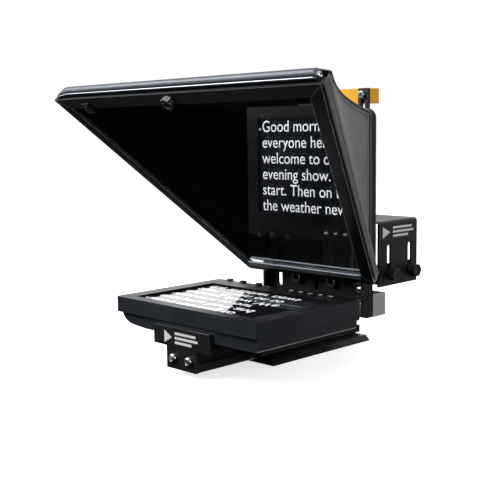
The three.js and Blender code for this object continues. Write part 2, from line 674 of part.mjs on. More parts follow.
function buildSlope() {
  const slope = group(object, 0, SLOPE_Y, SLOPE_Z);
  slope.rotation.x = TILT;
  const names = ['frame_foot', 'frame_right', 'frame_head', 'frame_left'];
  for (const [i, name] of names.entries()) {
    const wall = mitredStrip(i, 0, MEMBER_WALL, MEMBER_BACK, LIP_FRONT);
    const additions = [mitredStrip(i, 0, MEMBER_W, GAP, LIP_FRONT)];
    if (name === 'frame_head') additions.push(rolledEdge(SLOPE_HEAD_HALF - 4));
    const cuts = [];
    if (name === 'frame_head') cuts.push(rod('z', 2.6, 9, 0, SLOPE_LENGTH - 7, -3, 12));
    piece(slope, name, 'black', combine(wall, additions, cuts));
  }
  const glass = extrude(new THREE.Shape(trapezoid(MEMBER_WALL + 0.5)), -GLASS_T, 0);
  const notch = rod('z', 4, 8, 0, SLOPE_LENGTH - 7, -5, 12);
  piece(slope, 'beam_splitter', 'glass', combine(glass, [], [notch]));
  const ledge = box(-LEDGE_HALF, LEDGE_HALF, 9.5, 16.5, LIP_FRONT + GAP, LIP_FRONT + 2.2);
  piece(slope, 'glass_ledge', 'silver', ledge);
  const thumb = handKnob(7, 8, 9, 2.1, 4).rotateX(-Math.PI / 2);
  piece(slope, 'glass_screw', 'grey', thumb, 0, SLOPE_LENGTH - 7, LIP_FRONT + GAP);
  const clip = combine(box(-6.5, 6.5, -8, 5, GAP, 1.8), [rod('z', 2.2, 1.2, 0, 0, 1.5, 12)]);
  piece(slope, 'glass_clip', 'rubber', clip, -137, SLOPE_LENGTH - MEMBER_W + 3, LIP_FRONT);
}

// A point of the sloping frame's own axes in the part's frame.
function onSlope(x, v, w) {
  const point = new THREE.Vector3(x, v, w);
  point.applyAxisAngle(new THREE.Vector3(1, 0, 0), TILT);
  return point.add(new THREE.Vector3(0, SLOPE_Y, SLOPE_Z));
}

// ---- fabric hood between the sloping frame and the back plate ----
function seamPoint(side, u) {
  const front = onSlope(side * (SLOPE_HEAD_HALF - 1.5), SLOPE_LENGTH - 1.5, FABRIC_HEAD_OFF);
  const rear = new THREE.Vector3(side * (HEM_HALF - 1.5), HEM_FRONT - GAP - 0.6, HEM_TOP - 4.5);
  const point = front.lerp(rear, u);
  point.x -= side * SEAM_SAG * Math.sin(Math.PI * u);
  return point;
}

function sidePanel(side) {
  return (u, v) => {
    const bottomFront = onSlope(side * SLOPE_FOOT_HALF, 7, FABRIC_OFF);
    const bottomRear = new THREE.Vector3(side * (HEM_HALF - 1.5), HEM_FRONT - GAP - 0.6, 85);
    const bottom = bottomFront.lerp(bottomRear, u);
    return bottom.lerp(seamPoint(side, u), v);
  };
}

function topPanel(u, v) {
  const left = seamPoint(-1, u);
  const right = seamPoint(1, u);
  const point = left.lerp(right, v);
  point.z += FABRIC_T + 0.5 + TOP_CROWN * Math.sin(Math.PI * u) * Math.sin(Math.PI * v);
  return point;
}

function buildHood() {
  piece(object, 'hood_right', 'fabric', sheet((u, v) => sidePanel(1)(u, v), 8, 6, FABRIC_T));
  piece(object, 'hood_left', 'fabric', sheet((u, v) => sidePanel(-1)(u, 1 - v), 8, 6, FABRIC_T));
  piece(object, 'hood_top', 'fabric', sheet(topPanel, 8, 8, FABRIC_T));
  const flapY = HEM_FRONT - 4.5;
  piece(object, 'hood_flap', 'fabric', box(-72, 72, flapY, PLATE_Y - GAP, 79, 80.5));
  const outer = roundedRect(-HEM_HALF, HEM_HALF, 78, HEM_TOP, 8);
  const inner = roundedRect(-PLATE_HALF - 0.4, PLATE_HALF + 0.4, 60, PLATE_TOP + 0.4, 3);
  const ring = extrudeY(outer, HEM_FRONT, PLATE_BACK - GAP);
  const bore = extrudeY(inner, HEM_FRONT - 1, PLATE_BACK + 1);
  piece(object, 'hood_hem', 'fabric', combine(ring, [], [bore]));
  for (const side of [-1, 1]) {
    const bracket = box(-8, 8, HEM_FRONT - 3, PLATE_Y - GAP, 83, 101);
    piece(object, side < 0 ? 'hood_bracket_left' : 'hood_bracket_right', 'black', bracket, side * 60, 0, 0);
  }
}

function buildLensSleeve() {
  const face = extrudeY(roundedRect(-70, 70, 103, 250, 5), PLATE_Y - 2.2, PLATE_Y - GAP);
  const profile = [
    [0, 43.4],
    [37, 41],
    [41.5, 38.6],
    [43, 35],
    [45, 20],
    [47, 3],
    [47, -2],
    [48.5, -2],
    [48.5, 3],
    [46.5, 20],
    [44.6, 36],
    [43, 40],
    [38, 42.6],
    [6, 45],
    [6, 54.5],
    [0, 54.5],
  ].map(([r, y]) => new THREE.Vector2(r, y)); // drawn closed by its toggle
  const tube = new THREE.LatheGeometry(profile, 24).translate(0, PLATE_Y, LENS_Z);
  const bore = rod('y', 47.5, 6, 0, PLATE_Y - 4, LENS_Z, 24);
  const panel = combine(face, [], [bore]);
  piece(object, 'lens_sleeve', 'fabric', combine(panel, [tube]));
}

// ---- cross bar over the camera ----
function buildCrossBar() {
  const bracketY = PLATE_BACK + GAP;
  const barY = bracketY + BRACKET_T + GAP;
  const boltX = BAR_HALF - BRACKET_W / 2;
  const section = roundedRect(-BAR_HALF, BAR_HALF, BAR_TOP - BAR_SECTION[1], BAR_TOP, 1);
  const holes = [-boltX, boltX].map((x) => rod('y', 2.5, 12, x, barY - 1, BAR_BOLT_Z, 12));
  piece(object, 'cross_bar', 'yellow', combine(extrudeY(section, barY, barY + BAR_SECTION[0]), [], holes));
  for (const side of [-1, 1]) {
    const label = side < 0 ? 'left' : 'right';
    const x = side * boltX;
    const outline = roundedRect(x - BRACKET_W / 2, x + BRACKET_W / 2, BRACKET_BOTTOM, BAR_TOP, 1.5);
    const slot = roundedRect(x - 2.6, x + 2.6, BRACKET_BOTTOM + 6, BAR_TOP - 3.4, 2.5);
    const strap = combine(
      extrudeY(outline, bracketY, bracketY + BRACKET_T),
      [],
      [extrudeY(slot, bracketY - 1, bracketY + BRACKET_T + 1)],
    );
    piece(object, `bar_bracket_${label}`, 'black', strap);
    const bolt = headedScrew(4, 3.4, 2.2, BRACKET_T + 9);
    piece(object, `bar_bolt_${label}`, 'silver', bolt, x, bracketY - GAP, BAR_BOLT_Z);
    const screw = headedScrew(4, 3, 2.2, BRACKET_T - 0.5).rotateX(Math.PI);
    piece(object, `bracket_screw_${label}`, 'black', screw, x, bracketY + BRACKET_T + GAP, 232);
  }
}

buildBase();
buildRail();
buildFrontPlate();
buildMonitor();
buildBackPlate();
buildSupport();
buildCradle();
buildRiser();
buildSlope();
buildHood();
buildLensSleeve();
buildCrossBar();

export default object;
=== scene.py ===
import math
import random

import bmesh
import bpy
from mathutils import Matrix, Vector, noise


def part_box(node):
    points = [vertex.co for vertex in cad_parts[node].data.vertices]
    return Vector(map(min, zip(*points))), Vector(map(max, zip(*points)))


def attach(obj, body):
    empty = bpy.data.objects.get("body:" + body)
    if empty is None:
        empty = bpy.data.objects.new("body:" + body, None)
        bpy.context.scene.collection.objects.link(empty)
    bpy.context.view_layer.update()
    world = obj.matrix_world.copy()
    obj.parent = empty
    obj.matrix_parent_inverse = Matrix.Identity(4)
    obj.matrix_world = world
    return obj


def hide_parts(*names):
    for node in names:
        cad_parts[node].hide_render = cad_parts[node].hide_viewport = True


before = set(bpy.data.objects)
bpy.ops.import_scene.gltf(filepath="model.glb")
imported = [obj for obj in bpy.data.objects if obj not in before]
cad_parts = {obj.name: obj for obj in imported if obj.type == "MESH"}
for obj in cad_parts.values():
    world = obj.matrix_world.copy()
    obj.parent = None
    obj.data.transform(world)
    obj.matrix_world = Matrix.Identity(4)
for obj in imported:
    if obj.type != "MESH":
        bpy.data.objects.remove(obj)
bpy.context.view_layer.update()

MM = 0.001
SLANT = math.sqrt(0.5)  # sine and cosine of the glass's 45 degrees
RIGHT = Vector((1, 0, 0))
BACK = Vector((0, 1, 0))
UP = Vector((0, 0, 1))

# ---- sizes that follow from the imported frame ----
FOOT_LO, FOOT_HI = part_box("frame_foot")
HEM_LO, HEM_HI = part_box("hood_hem")
BEZEL_LO, BEZEL_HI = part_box("monitor_bezel")
# the foot of the glass plane, the plane's length and the frame's half widths at its foot and head
SLOPE_ORIGIN = Vector((0, FOOT_HI.y - 7 * MM * SLANT, FOOT_LO.z + 2 * MM * SLANT))
SLOPE_LENGTH = 275.8 * MM
FOOT_HALF = 91.2 * MM
HEAD_HALF = 188 * MM
ROLL_HALF = HEAD_HALF - 4 * MM  # half the length of the head's rolled edge
WALL_FRONT = -0.2 * MM  # the cloth's front edge on the sloping frame's outer wall
WALL_BACK = -8.4 * MM  # and where it leaves the wall, at the foot and at the head
WALL_BACK_HEAD = -11.8 * MM
WALL_SHARE = 0.07  # share of a side panel that lies on the wall
CLOTH_OUT = 0.95 * MM  # its middle's distance from the wall
CLOTH_REAR = HEM_LO.y - 0.9 * MM
CLOTH_REAR_HALF = HEM_HI.x - 1.5 * MM
SEAM_SAG = 11 * MM
STITCH_PITCH = 3.2 * MM
STITCH_RADIUS = 0.28 * MM
SCREEN_W = 172 * MM
SCREEN_D = 108 * MM
SCREEN_Y = (BEZEL_LO.y + BEZEL_HI.y) / 2 - 6.6 * MM
LENS_Z = 178 * MM
SLEEVE_PANEL_HALF = 70 * MM  # the lens sleeve's panel lies on the back plate
SLEEVE_PANEL_LOW = 103 * MM
SLEEVE_PANEL_HIGH = 250 * MM

# ---- node materials ----
class Graph:
    """A node tree, with short calls for the nodes used here."""

    def __init__(self, tree):
        self.tree = tree

    def add(self, kind):
        return self.tree.nodes.new("ShaderNode" + kind)

    def link(self, value, socket):
        if isinstance(value, bpy.types.NodeSocket):
            self.tree.links.new(value, socket)
        else:
            socket.default_value = value

    def math(self, operation, *values):
        node = self.add("Math")
        node.operation = operation
        for value, socket in zip(values, node.inputs):
            self.link(value, socket)
        return node.outputs[0]

    def remap(self, value, low, high, to_low, to_high):
        node = self.add("MapRange")
        self.link(value, node.inputs["Value"])
        numbers = {"From Min": low, "From Max": high, "To Min": to_low, "To Max": to_high}
        for name, number in numbers.items():
            node.inputs[name].default_value = number
        return node.outputs["Result"]


class Nodes(Graph):
    """One material's node tree."""

    def __init__(self, name):
        self.material = bpy.data.materials.new(name)
        self.material.use_nodes = True
        super().__init__(self.material.node_tree)
        self.shader = self.tree.nodes["Principled BSDF"]
        coords = self.add("TexCoord")
        self.place = coords.outputs["Object"]
        self.uv = coords.outputs["UV"]

    def stretched(self, scale, vector=None):
        node = self.add("Mapping")
        self.link(vector or self.place, node.inputs["Vector"])
        node.inputs["Scale"].default_value = scale
        return node.outputs["Vector"]

    def noise(self, scale, detail, vector=None, rough=0.5):
        node = self.add("TexNoise")
        self.link(vector or self.place, node.inputs["Vector"])
        node.inputs["Scale"].default_value = scale
        node.inputs["Detail"].default_value = detail
        node.inputs["Roughness"].default_value = rough
        return node.outputs["Fac"]

    def waves(self, pitch, direction, vector=None):
        """Bands that repeat every pitch metres."""
        node = self.add("TexWave")
        node.bands_direction = direction
        self.link(vector or self.place, node.inputs["Vector"])
        node.inputs["Scale"].default_value = math.tau / (20 * pitch)
        node.inputs["Distortion"].default_value = 0.0
        return node.outputs["Fac"]

    def along(self, direction):
        """The distance of the point along a direction, from the object's origin."""
        node = self.add("VectorMath")
        node.operation = "DOT_PRODUCT"
        self.link(self.place, node.inputs[0])
        node.inputs[1].default_value = direction
        return node.outputs["Value"]

    def blend(self, factor, a, b):
        node = self.add("Mix")
        node.data_type = "RGBA"
        self.link(factor, node.inputs["Factor"])
        self.link(a, node.inputs["A"])
        self.link(b, node.inputs["B"])
        return node.outputs["Result"]

    def bump(self, height, strength, distance, below=None):
        node = self.add("Bump")
        self.link(height, node.inputs["Height"])
        node.inputs["Strength"].default_value = strength
        node.inputs["Distance"].default_value = distance
        if below is not None:
            self.link(below, node.inputs["Normal"])
        return node.outputs["Normal"]

    def finish(self, color, roughness, normal=None, **sockets):
        self.link(color, self.shader.inputs["Base Color"])
        self.link(roughness, self.shader.inputs["Roughness"])
        if normal is not None:
            self.link(normal, self.shader.inputs["Normal"])
        for name, value in sockets.items():
            self.shader.inputs[name.replace("_", " ")].default_value = value
        return self.material


def rgb(red, green, blue):
    return (red, green, blue, 1.0)


def dimmed(color, share):
    return rgb(*(c * share for c in color[:3]))


def rolled_satin_painted_highlight(name, face, painted_highlight_lip, begins, roughness):
    """Satin black that turns lighter and glossier on the rolled edge beyond the head's outer face; the
    lighter tone there is a painted highlight along the roll.
    """
    n = Nodes(name)
    beyond = n.remap(n.along((0, -SLANT, SLANT)), begins, begins + 0.4 * MM, 0, 1)
    cloud = n.remap(n.noise(26, 4), 0.35, 0.65, 0.85, 1.0)
    # the rolled edge's lighter tone is a painted highlight
    color = n.blend(n.math("MULTIPLY", beyond, cloud), face, painted_highlight_lip)
    smear = n.remap(n.noise(9, 3, n.stretched((1, 3, 1))), 0.3, 0.7, roughness - 0.05, roughness + 0.05)
    rough = n.math("ADD", smear, n.math("MULTIPLY", n.math("SUBTRACT", 1.0, beyond), 0.2))
    normal = n.bump(n.noise(1500, 3), 0.3, 0.02 * MM)
    n.link(n.math("MULTIPLY", beyond, 0.7), n.shader.inputs["Metallic"])
    return n.finish(color, rough, normal)


def grained(name, dark, light, roughness, grain, depth, **sockets):
    """Moulded plastic, rubber or satin coating: cloudy colour, uneven gloss and a fine grain."""
    n = Nodes(name)
    cloud = n.noise(26, 4)
    smear = n.noise(9, 3, n.stretched((1, 3, 1)))
    color = n.blend(n.remap(cloud, 0.35, 0.65, 0, 1), dark, light)
    rough = n.remap(smear, 0.3, 0.7, roughness - 0.06, roughness + 0.06)
    normal = n.bump(n.noise(grain, 3), 0.35, depth)
    return n.finish(color, rough, normal, **sockets)


def worn_edge_with_painted_highlight(name, edge_highlight, bare, share, roughness):
    """The edges of a coated piece: a painted highlight tone, lighter than the piece's own coating, rubbed
    through to bare metal in patches.
    """
    n = Nodes(name)
    patches = n.noise(240, 4, rough=0.7)
    worn = n.remap(patches, 0.62 - share, 0.66 - share * 0.6, 0, 1)
    # the second colour is a painted highlight on the bevels; the bare patches are wear
    color = n.blend(worn, edge_highlight, bare)
    rough = n.remap(patches, 0.3, 0.7, roughness, roughness + 0.15)
    return n.finish(color, rough, n.bump(n.noise(1800, 2), 0.3, 0.02 * MM), Metallic=0.6)


def brushed(name, dark, light, roughness, direction):
    """Bare metal with fine lines along one direction."""
    n = Nodes(name)
    scale = {"x": (12, 900, 900), "y": (900, 12, 900)}[direction]
    lines = n.noise(1.6, 3, n.stretched(scale))
    stains = n.noise(60, 3)
    color = n.blend(lines, dark, light)
    color = n.blend(n.remap(stains, 0.55, 0.75, 0, 0.35), color, dark)
    rough = n.remap(lines, 0.3, 0.7, roughness - 0.07, roughness + 0.09)
    return n.finish(color, rough, n.bump(lines, 0.25, 0.02 * MM), Metallic=1.0)


def woven(name, dark, light, pitch, sheen, roughness):
    """Plain-woven cloth on a piece whose UVs are in metres: crossing threads, slubs and a soft nap."""
    n = Nodes(name)
    warp = n.waves(pitch, "X", n.uv)
    weft = n.waves(pitch, "Y", n.uv)
    threads = n.math("MULTIPLY", warp, weft)
    slubs = n.noise(420, 3, n.stretched((1, 5, 1), n.uv))
    cloud = n.noise(22, 4)
    color = n.blend(n.remap(cloud, 0.3, 0.7, 0.15, 0.85), dark, light)
    color = n.blend(n.remap(threads, 0.0, 0.6, 0.45, 0.0), color, dark)
    normal = n.bump(threads, 0.55, 0.12 * MM)
    normal = n.bump(slubs, 0.3, 0.1 * MM, normal)
    normal = n.bump(n.noise(60, 3), 0.25, 0.5 * MM, normal)
    rough = n.remap(slubs, 0.3, 0.7, roughness - 0.06, roughness + 0.05)
    return n.finish(color, rough, normal, Sheen_Weight=sheen, Sheen_Roughness=0.45)


BLACK = rgb(0.0042, 0.0044, 0.0049)
BLACK_SOFT = rgb(0.0068, 0.0071, 0.0077)
BARE_EDGE = rgb(0.5, 0.52, 0.55)
ANODISED = grained("anodised_black", BLACK_SOFT, rgb(0.011, 0.0113, 0.012), 0.38, 2600, 0.012 * MM,
                   Specular_IOR_Level=0.5)
# edges: a painted highlight tone over the bevels, with bare metal wear in patches
ANODISED_EDGE = worn_edge_with_painted_highlight("anodised_black_edge", rgb(0.03, 0.031, 0.034), rgb(0.42, 0.43, 0.45), 0.02, 0.3)
COATED = grained("powder_coat", BLACK, BLACK_SOFT, 0.42, 1500, 0.03 * MM, Specular_IOR_Level=0.55)
# edges: a painted highlight tone over the bevels, with bare metal wear in patches
COATED_EDGE = worn_edge_with_painted_highlight("powder_coat_edge", rgb(0.05, 0.053, 0.058), BARE_EDGE, 0.04, 0.26)
SHELL = grained("monitor_shell", rgb(0.0165, 0.0192, 0.0232), rgb(0.024, 0.0282, 0.0338), 0.33, 1300,
                0.03 * MM)
# painted shade: a darker copy of the shell for the bezel's up faces
SHELL_TOP_PAINTED_SHADE = grained("monitor_top_painted_shade", rgb(0.0045, 0.005, 0.0058), rgb(0.007, 0.0077, 0.0088), 0.3, 1300,
                    0.03 * MM, Specular_IOR_Level=0.28)
# painted shade: near black for the walls of the bezel's window
WINDOW_WALL_PAINTED_SHADE = grained("window_wall_painted_shade", rgb(0.002, 0.002, 0.0022), rgb(0.004, 0.004, 0.0042), 0.8, 900,
                      0.02 * MM, Specular_IOR_Level=0.05)
# painted highlight: a light grey on the monitor's bevels, far lighter than its plastic
SHELL_EDGE_PAINTED_HIGHLIGHT = grained("monitor_shell_edge_painted_highlight", rgb(0.16, 0.17, 0.185), rgb(0.25, 0.265, 0.285), 0.3, 1300,
                     0.02 * MM)
SATIN = grained("satin_black", rgb(0.0035, 0.0036, 0.004), rgb(0.0055, 0.0057, 0.0062), 0.34, 1500,
                0.02 * MM, Specular_IOR_Level=0.22)
# edges: a painted highlight tone over the bevels, with bare metal wear in patches
SATIN_EDGE = worn_edge_with_painted_highlight("satin_black_edge", rgb(0.26, 0.275, 0.3), BARE_EDGE, 0.1, 0.26)
# second colour: the painted highlight on the head's rolled edge
HEAD_SATIN = rolled_satin_painted_highlight("rolled_satin_painted_highlight", rgb(0.0085, 0.0088, 0.0094), rgb(0.1, 0.107, 0.122),
                          (SLOPE_ORIGIN.z - SLOPE_ORIGIN.y) * SLANT + SLOPE_LENGTH + 0.3 * MM, 0.46)
MATTE = grained("matte_black", rgb(0.004, 0.004, 0.0045), rgb(0.007, 0.007, 0.0075), 0.55, 1500, 0.03 * MM,
                Specular_IOR_Level=0.3)
RUBBER = grained("soft_black", rgb(0.009, 0.009, 0.0098), rgb(0.016, 0.016, 0.0168), 0.45, 900, 0.06 * MM)
STEEL = brushed("steel", rgb(0.42, 0.43, 0.44), rgb(0.72, 0.73, 0.74), 0.26, "y")
BLACK_STEEL = grained("black_steel", rgb(0.02, 0.02, 0.022), rgb(0.035, 0.035, 0.038), 0.32, 1900,
                      0.02 * MM, Metallic=0.7)
ALUMINIUM = brushed("bare_aluminium", rgb(0.72, 0.73, 0.74), rgb(0.92, 0.93, 0.94), 0.45, "x")
ALUMINIUM_LEDGE = brushed("bright_aluminium", rgb(0.3, 0.335, 0.37), rgb(0.46, 0.5, 0.54), 0.55, "x")
# painted highlight: the bright line along the front of the head's rolled edge
TRIM_PAINTED_HIGHLIGHT = brushed("trim_painted_highlight", rgb(0.3, 0.32, 0.35), rgb(0.42, 0.44, 0.47), 0.4, "x")
NICKEL = brushed("dull_nickel", rgb(0.08, 0.08, 0.083), rgb(0.16, 0.16, 0.165), 0.3, "y")
CLOTH = woven("hood_cloth", rgb(0.1, 0.101, 0.104), rgb(0.15, 0.152, 0.156), 0.55 * MM, 0.3, 0.8)
LINING = woven("hood_lining", rgb(0.011, 0.0118, 0.0135), rgb(0.017, 0.0182, 0.021), 0.5 * MM, 0.0, 0.95)
WEBBING = woven("hood_binding", rgb(0.006, 0.006, 0.0065), rgb(0.012, 0.012, 0.013), 1.1 * MM, 0.08, 0.75)
THREAD = grained("sewing_thread", rgb(0.03, 0.03, 0.032), rgb(0.06, 0.06, 0.064), 0.7, 4000, 0.05 * MM)


def yellow_paint():
    n = Nodes("yellow_paint")
    cloud = n.noise(30, 4)
    color = n.blend(n.remap(cloud, 0.35, 0.65, 0, 1), rgb(0.9, 0.38, 0.008), rgb(0.97, 0.46, 0.014))
    scuffs = n.remap(n.noise(120, 5, n.stretched((1, 6, 6)), 0.7), 0.68, 0.72, 0, 0.5)
    color = n.blend(scuffs, color, rgb(0.35, 0.15, 0.02))
    normal = n.bump(n.noise(420, 2), 0.3, 0.06 * MM)
    return n.finish(color, n.remap(cloud, 0.3, 0.7, 0.3, 0.42), normal, Coat_Weight=0.1, Coat_Roughness=0.3)


def mirror_coat(name, share, tint):
    """A half-silvered or bare glass face: a mirror for a share of the light, and clear for the rest."""
    n = Nodes(name)
    smear = n.noise(14, 3, n.stretched((1, 4, 1)))
    color = n.blend(n.remap(smear, 0.4, 0.6, 0, 1), tint, dimmed(tint, 0.94))
    return n.finish(color, n.remap(smear, 0.3, 0.7, 0.0, 0.01), Metallic=1.0, Alpha=share)


def white_ink():
    n = Nodes("white_ink")
    speckle = n.noise(2200, 3)
    white = rgb(0.8, 0.8, 0.8)
    tone = n.blend(n.remap(speckle, 0.3, 0.7, 0, 1), white, dimmed(white, 0.85))
    return n.finish(tone, 0.5, n.bump(speckle, 0.2, 0.01 * MM))


def lcd_glass():
    """The display's face: a black sheet with a faint bluish glow and a fine grid of cells."""
    n = Nodes("lcd_face")
    pitch = 0.4 * MM
    grid = n.math("MULTIPLY", n.waves(pitch, "X"), n.waves(pitch, "Y"))
    color = n.blend(n.remap(grid, 0, 1, 0, 1), rgb(0.004, 0.0045, 0.006), rgb(0.008, 0.009, 0.012))
    smear = n.remap(n.noise(18, 3), 0.3, 0.7, 0.02, 0.05)
    return n.finish(color, smear, Emission_Color=rgb(0.55, 0.62, 0.8), Emission_Strength=0.01, IOR=1.6,
                    Coat_Weight=1.0, Coat_Roughness=0.03)


def script_light():
    """The lit words on the display."""
    n = Nodes("script_light")
    tone = n.blend(n.noise(300, 2), rgb(0.7, 0.72, 0.75), rgb(0.9, 0.92, 0.95))
    return n.finish(tone, 0.3, Emission_Color=rgb(0.97, 0.98, 1.0), Emission_Strength=1.1, Coat_Weight=1.0)


YELLOW = yellow_paint()
GLASS_COAT = mirror_coat("glass_coated_face", 0.48, rgb(0.92, 0.94, 0.97))
GLASS_BARE = mirror_coat("glass_bare_face", 0.03, rgb(0.7, 0.8, 0.78))
LCD = lcd_glass()
SCRIPT_LIGHT = script_light()
WHITE_INK = white_ink()


# ---- mesh helpers ----
def own_piece(name, mesh, materials, body):
    """A new object that rides on a CAD body and belongs to one of its material slots."""
    for material in materials:
        mesh.materials.append(material)
    obj = bpy.data.objects.new(name, mesh)
    bpy.context.scene.collection.objects.link(obj)
    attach(obj, body)
    return obj


def mesh_of(name, verts, faces, smooth=True):
    mesh = bpy.data.meshes.new(name)
    mesh.from_pydata([tuple(v) for v in verts], [], faces)
    mesh.validate()
    for polygon in mesh.polygons:
        polygon.use_smooth = smooth
    return mesh


def grid_mesh(name, at, across, along, closed=False):
    """A grid over at(u, v), with UVs in metres measured along its middle row and column."""
    rows = across + 1 - closed
    verts = [at(i / across, j / along) for i in range(rows) for j in range(along + 1)]
    faces = []
    for i in range(across):
        k = (i + 1) % rows
        for j in range(along):
            a, b = i * (along + 1) + j, k * (along + 1) + j
            faces.append((a, b, b + 1, a + 1))
    mesh = mesh_of(name, verts, faces)
    width = sum((at((i + 1) / across, 0.5) - at(i / across, 0.5)).length for i in range(across))
    length = sum((at(0.5, (j + 1) / along) - at(0.5, j / along)).length for j in range(along))
    layer = mesh.uv_layers.new(name="cloth")
    for polygon in mesh.polygons:
        i, j = divmod(polygon.index, along)
        for loop, (di, dj) in zip(polygon.loop_indices, ((0, 0), (1, 0), (1, 1), (0, 1))):
            layer.data[loop].uv = ((i + di) / across * width, (j + dj) / along * length)
    return mesh


def band(a, b, count):
    """The faces between two rings of count points each, which start at a and at b."""
    return [(a + k, a + (k + 1) % count, b + (k + 1) % count, b + k) for k in range(count)]


def tube_faces(path, radius, sides, verts, faces, closed=False):
    """Adds a tube along the points of path, with flat caps, to verts and faces."""
    first = len(verts)
    count = len(path)
    up = Vector((0.12, 0.31, 1)).normalized()
    for i, point in enumerate(path):
        ahead = path[(i + 1) % count] if closed or i < count - 1 else point
        behind = path[i - 1] if closed or i > 0 else point
        forward = (ahead - behind).normalized()
        side = forward.cross(up).normalized()
        top = side.cross(forward)
        for k in range(sides):
            angle = math.tau * k / sides
            verts.append(point + (side * math.cos(angle) + top * math.sin(angle)) * radius)
    for i in range(count if closed else count - 1):
        faces += band(first + i * sides, first + (i + 1) % count * sides, sides)
    if not closed:
        faces.append(tuple(first + k for k in reversed(range(sides))))
        faces.append(tuple(first + (count - 1) * sides + k for k in range(sides)))


def tube(name, path, radius, sides, material, closed=False):
    verts, faces = [], []
    tube_faces(path, radius, sides, verts, faces, closed)
    return own_piece(name, mesh_of(name, verts, faces), [material], "stand")


def stitched(name, path, pitch=STITCH_PITCH, radius=STITCH_RADIUS):
    """A row of short sunk stitches along a path."""
    verts, faces = [], []
    lengths = [0.0]
    for a, b in zip(path, path[1:]):
        lengths.append(lengths[-1] + (b - a).length)

    def at(distance):
        for i in range(1, len(path)):
            if lengths[i] >= distance:
                step = (distance - lengths[i - 1]) / (lengths[i] - lengths[i - 1])
                return path[i - 1].lerp(path[i], step)
        return path[-1]

    for k in range(int(lengths[-1] / pitch)):
        start = (k + 0.15) * pitch
        points = [at(start + pitch * 0.68 * t / 3) for t in range(4)]
        tube_faces(points, radius, 5, verts, faces)
    return own_piece(name, mesh_of(name, verts, faces), [THREAD], "stand")


def profile_at(profile, share):
    """The pair of numbers at a share of the way through an outline's points."""
    place = share * (len(profile) - 1)
    i = min(int(place), len(profile) - 2)
    near, far = profile[i], profile[i + 1]
    return [near[k] + (far[k] - near[k]) * (place - i) for k in (0, 1)]


def modify(obj, kind, **settings):
    modifier = obj.modifiers.new(kind.lower(), kind)
    for key, value in settings.items():
        setattr(modifier, key, value)
    return modifier


def dress(node, material, edge, width, angle=28):
    """Gives a CAD node its material and soft bevelled edges, which may have a material of their own."""
    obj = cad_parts[node]
    obj.data.materials.clear()
    obj.data.materials.append(material)
    for polygon in obj.data.polygons:
        polygon.use_smooth = True
    modify(obj, "WELD", merge_threshold=0.01 * MM)
    modify(obj, "DECIMATE", decimate_type="DISSOLVE", angle_limit=math.radians(0.5))
    bevel = modify(obj, "BEVEL", width=width, segments=2, limit_method="ANGLE",
                   angle_limit=math.radians(angle), harden_normals=False, use_clamp_overlap=True)
    if edge:
        obj.data.materials.append(edge)
        bevel.material = 1
    modify(obj, "WEIGHTED_NORMAL", mode="FACE_AREA", weight=100)


# ---- the sloping frame's own axes ----
def on_slope(x, v, w):
    """x across, v up the slope from the foot of the glass, w out toward the person being filmed."""
    return SLOPE_ORIGIN + Vector((x, (-v - w) * SLANT, (v - w) * SLANT))


SLOPE_OUT = Vector((0, -SLANT, -SLANT))


# ---- metal and plastic: CAD shapes with better surfaces ----
def paint_bezel_shade():
    """Painted shade on the bezel: darker materials on its up faces and on its window's walls, which the
    glass mirrors.
    """
    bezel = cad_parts["monitor_bezel"].data
    bezel.materials.append(SHELL_TOP_PAINTED_SHADE)
    bezel.materials.append(WINDOW_WALL_PAINTED_SHADE)
    for polygon in bezel.polygons:
        middle = polygon.center
        if polygon.normal.z > 0.9:
            polygon.material_index = 2
        elif abs(middle.x) < SCREEN_W * 0.52 and abs(middle.y - SCREEN_Y) < SCREEN_D * 0.52:
            polygon.material_index = 3


def dress_hard_pieces():
    for node in ("rail", "channel_pad", "monitor_saddle"):
        dress(node, ANODISED, ANODISED_EDGE, 0.35 * MM)
    dress("base_plate", ANODISED, ANODISED_EDGE, 0.4 * MM)
    dress("front_plate", COATED, SATIN_EDGE, 0.9 * MM)
    dress("camera_riser", COATED, COATED_EDGE, 0.5 * MM)
    for node in ("back_plate", "upright_block", "camera_cradle"):
        dress(node, MATTE, COATED_EDGE, 0.4 * MM)
    for node in ("frame_foot", "frame_left", "frame_right"):
        dress(node, SATIN, SATIN_EDGE, 0.6 * MM)
    dress("frame_head", HEAD_SATIN, None, 0.2 * MM)
    for node in ("bar_bracket_left", "bar_bracket_right", "hood_bracket_left", "hood_bracket_right"):
        dress(node, COATED, COATED_EDGE, 0.4 * MM)
    dress("monitor_housing", SHELL, SHELL_EDGE_PAINTED_HIGHLIGHT, 0.7 * MM)
    dress("monitor_bezel", SHELL, SHELL_EDGE_PAINTED_HIGHLIGHT, 0.35 * MM)
    paint_bezel_shade()
    dress("lcd_panel", LCD, None, 0.2 * MM)
    for i in (1, 2, 3):
        dress(f"edge_clip_{i}", RUBBER, None, 0.3 * MM)
    for i in range(1, 6):
        dress(f"button_{i}", RUBBER, None, 0.4 * MM)
    for node in ("saddle_knob", "riser_knob_1", "riser_knob_2", "riser_knob_3", "riser_knob_4"):
        dress(node, RUBBER, None, 0.35 * MM, 40)
    dress("glass_clip", RUBBER, None, 0.4 * MM)
    for node in ("camera_washer", "camera_screw", "video_socket", "power_socket"):
        dress(node, STEEL, None, 0.2 * MM, 35)
    # bright steel on the dark screw's bevels is a painted highlight
    dress("glass_screw", NICKEL, STEEL, 0.3 * MM, 35)
    dress("cross_channel", ALUMINIUM, None, 0.3 * MM)
    dress("glass_ledge", ALUMINIUM_LEDGE, None, 0.2 * MM)
    dress("cross_bar", YELLOW, None, 0.6 * MM)


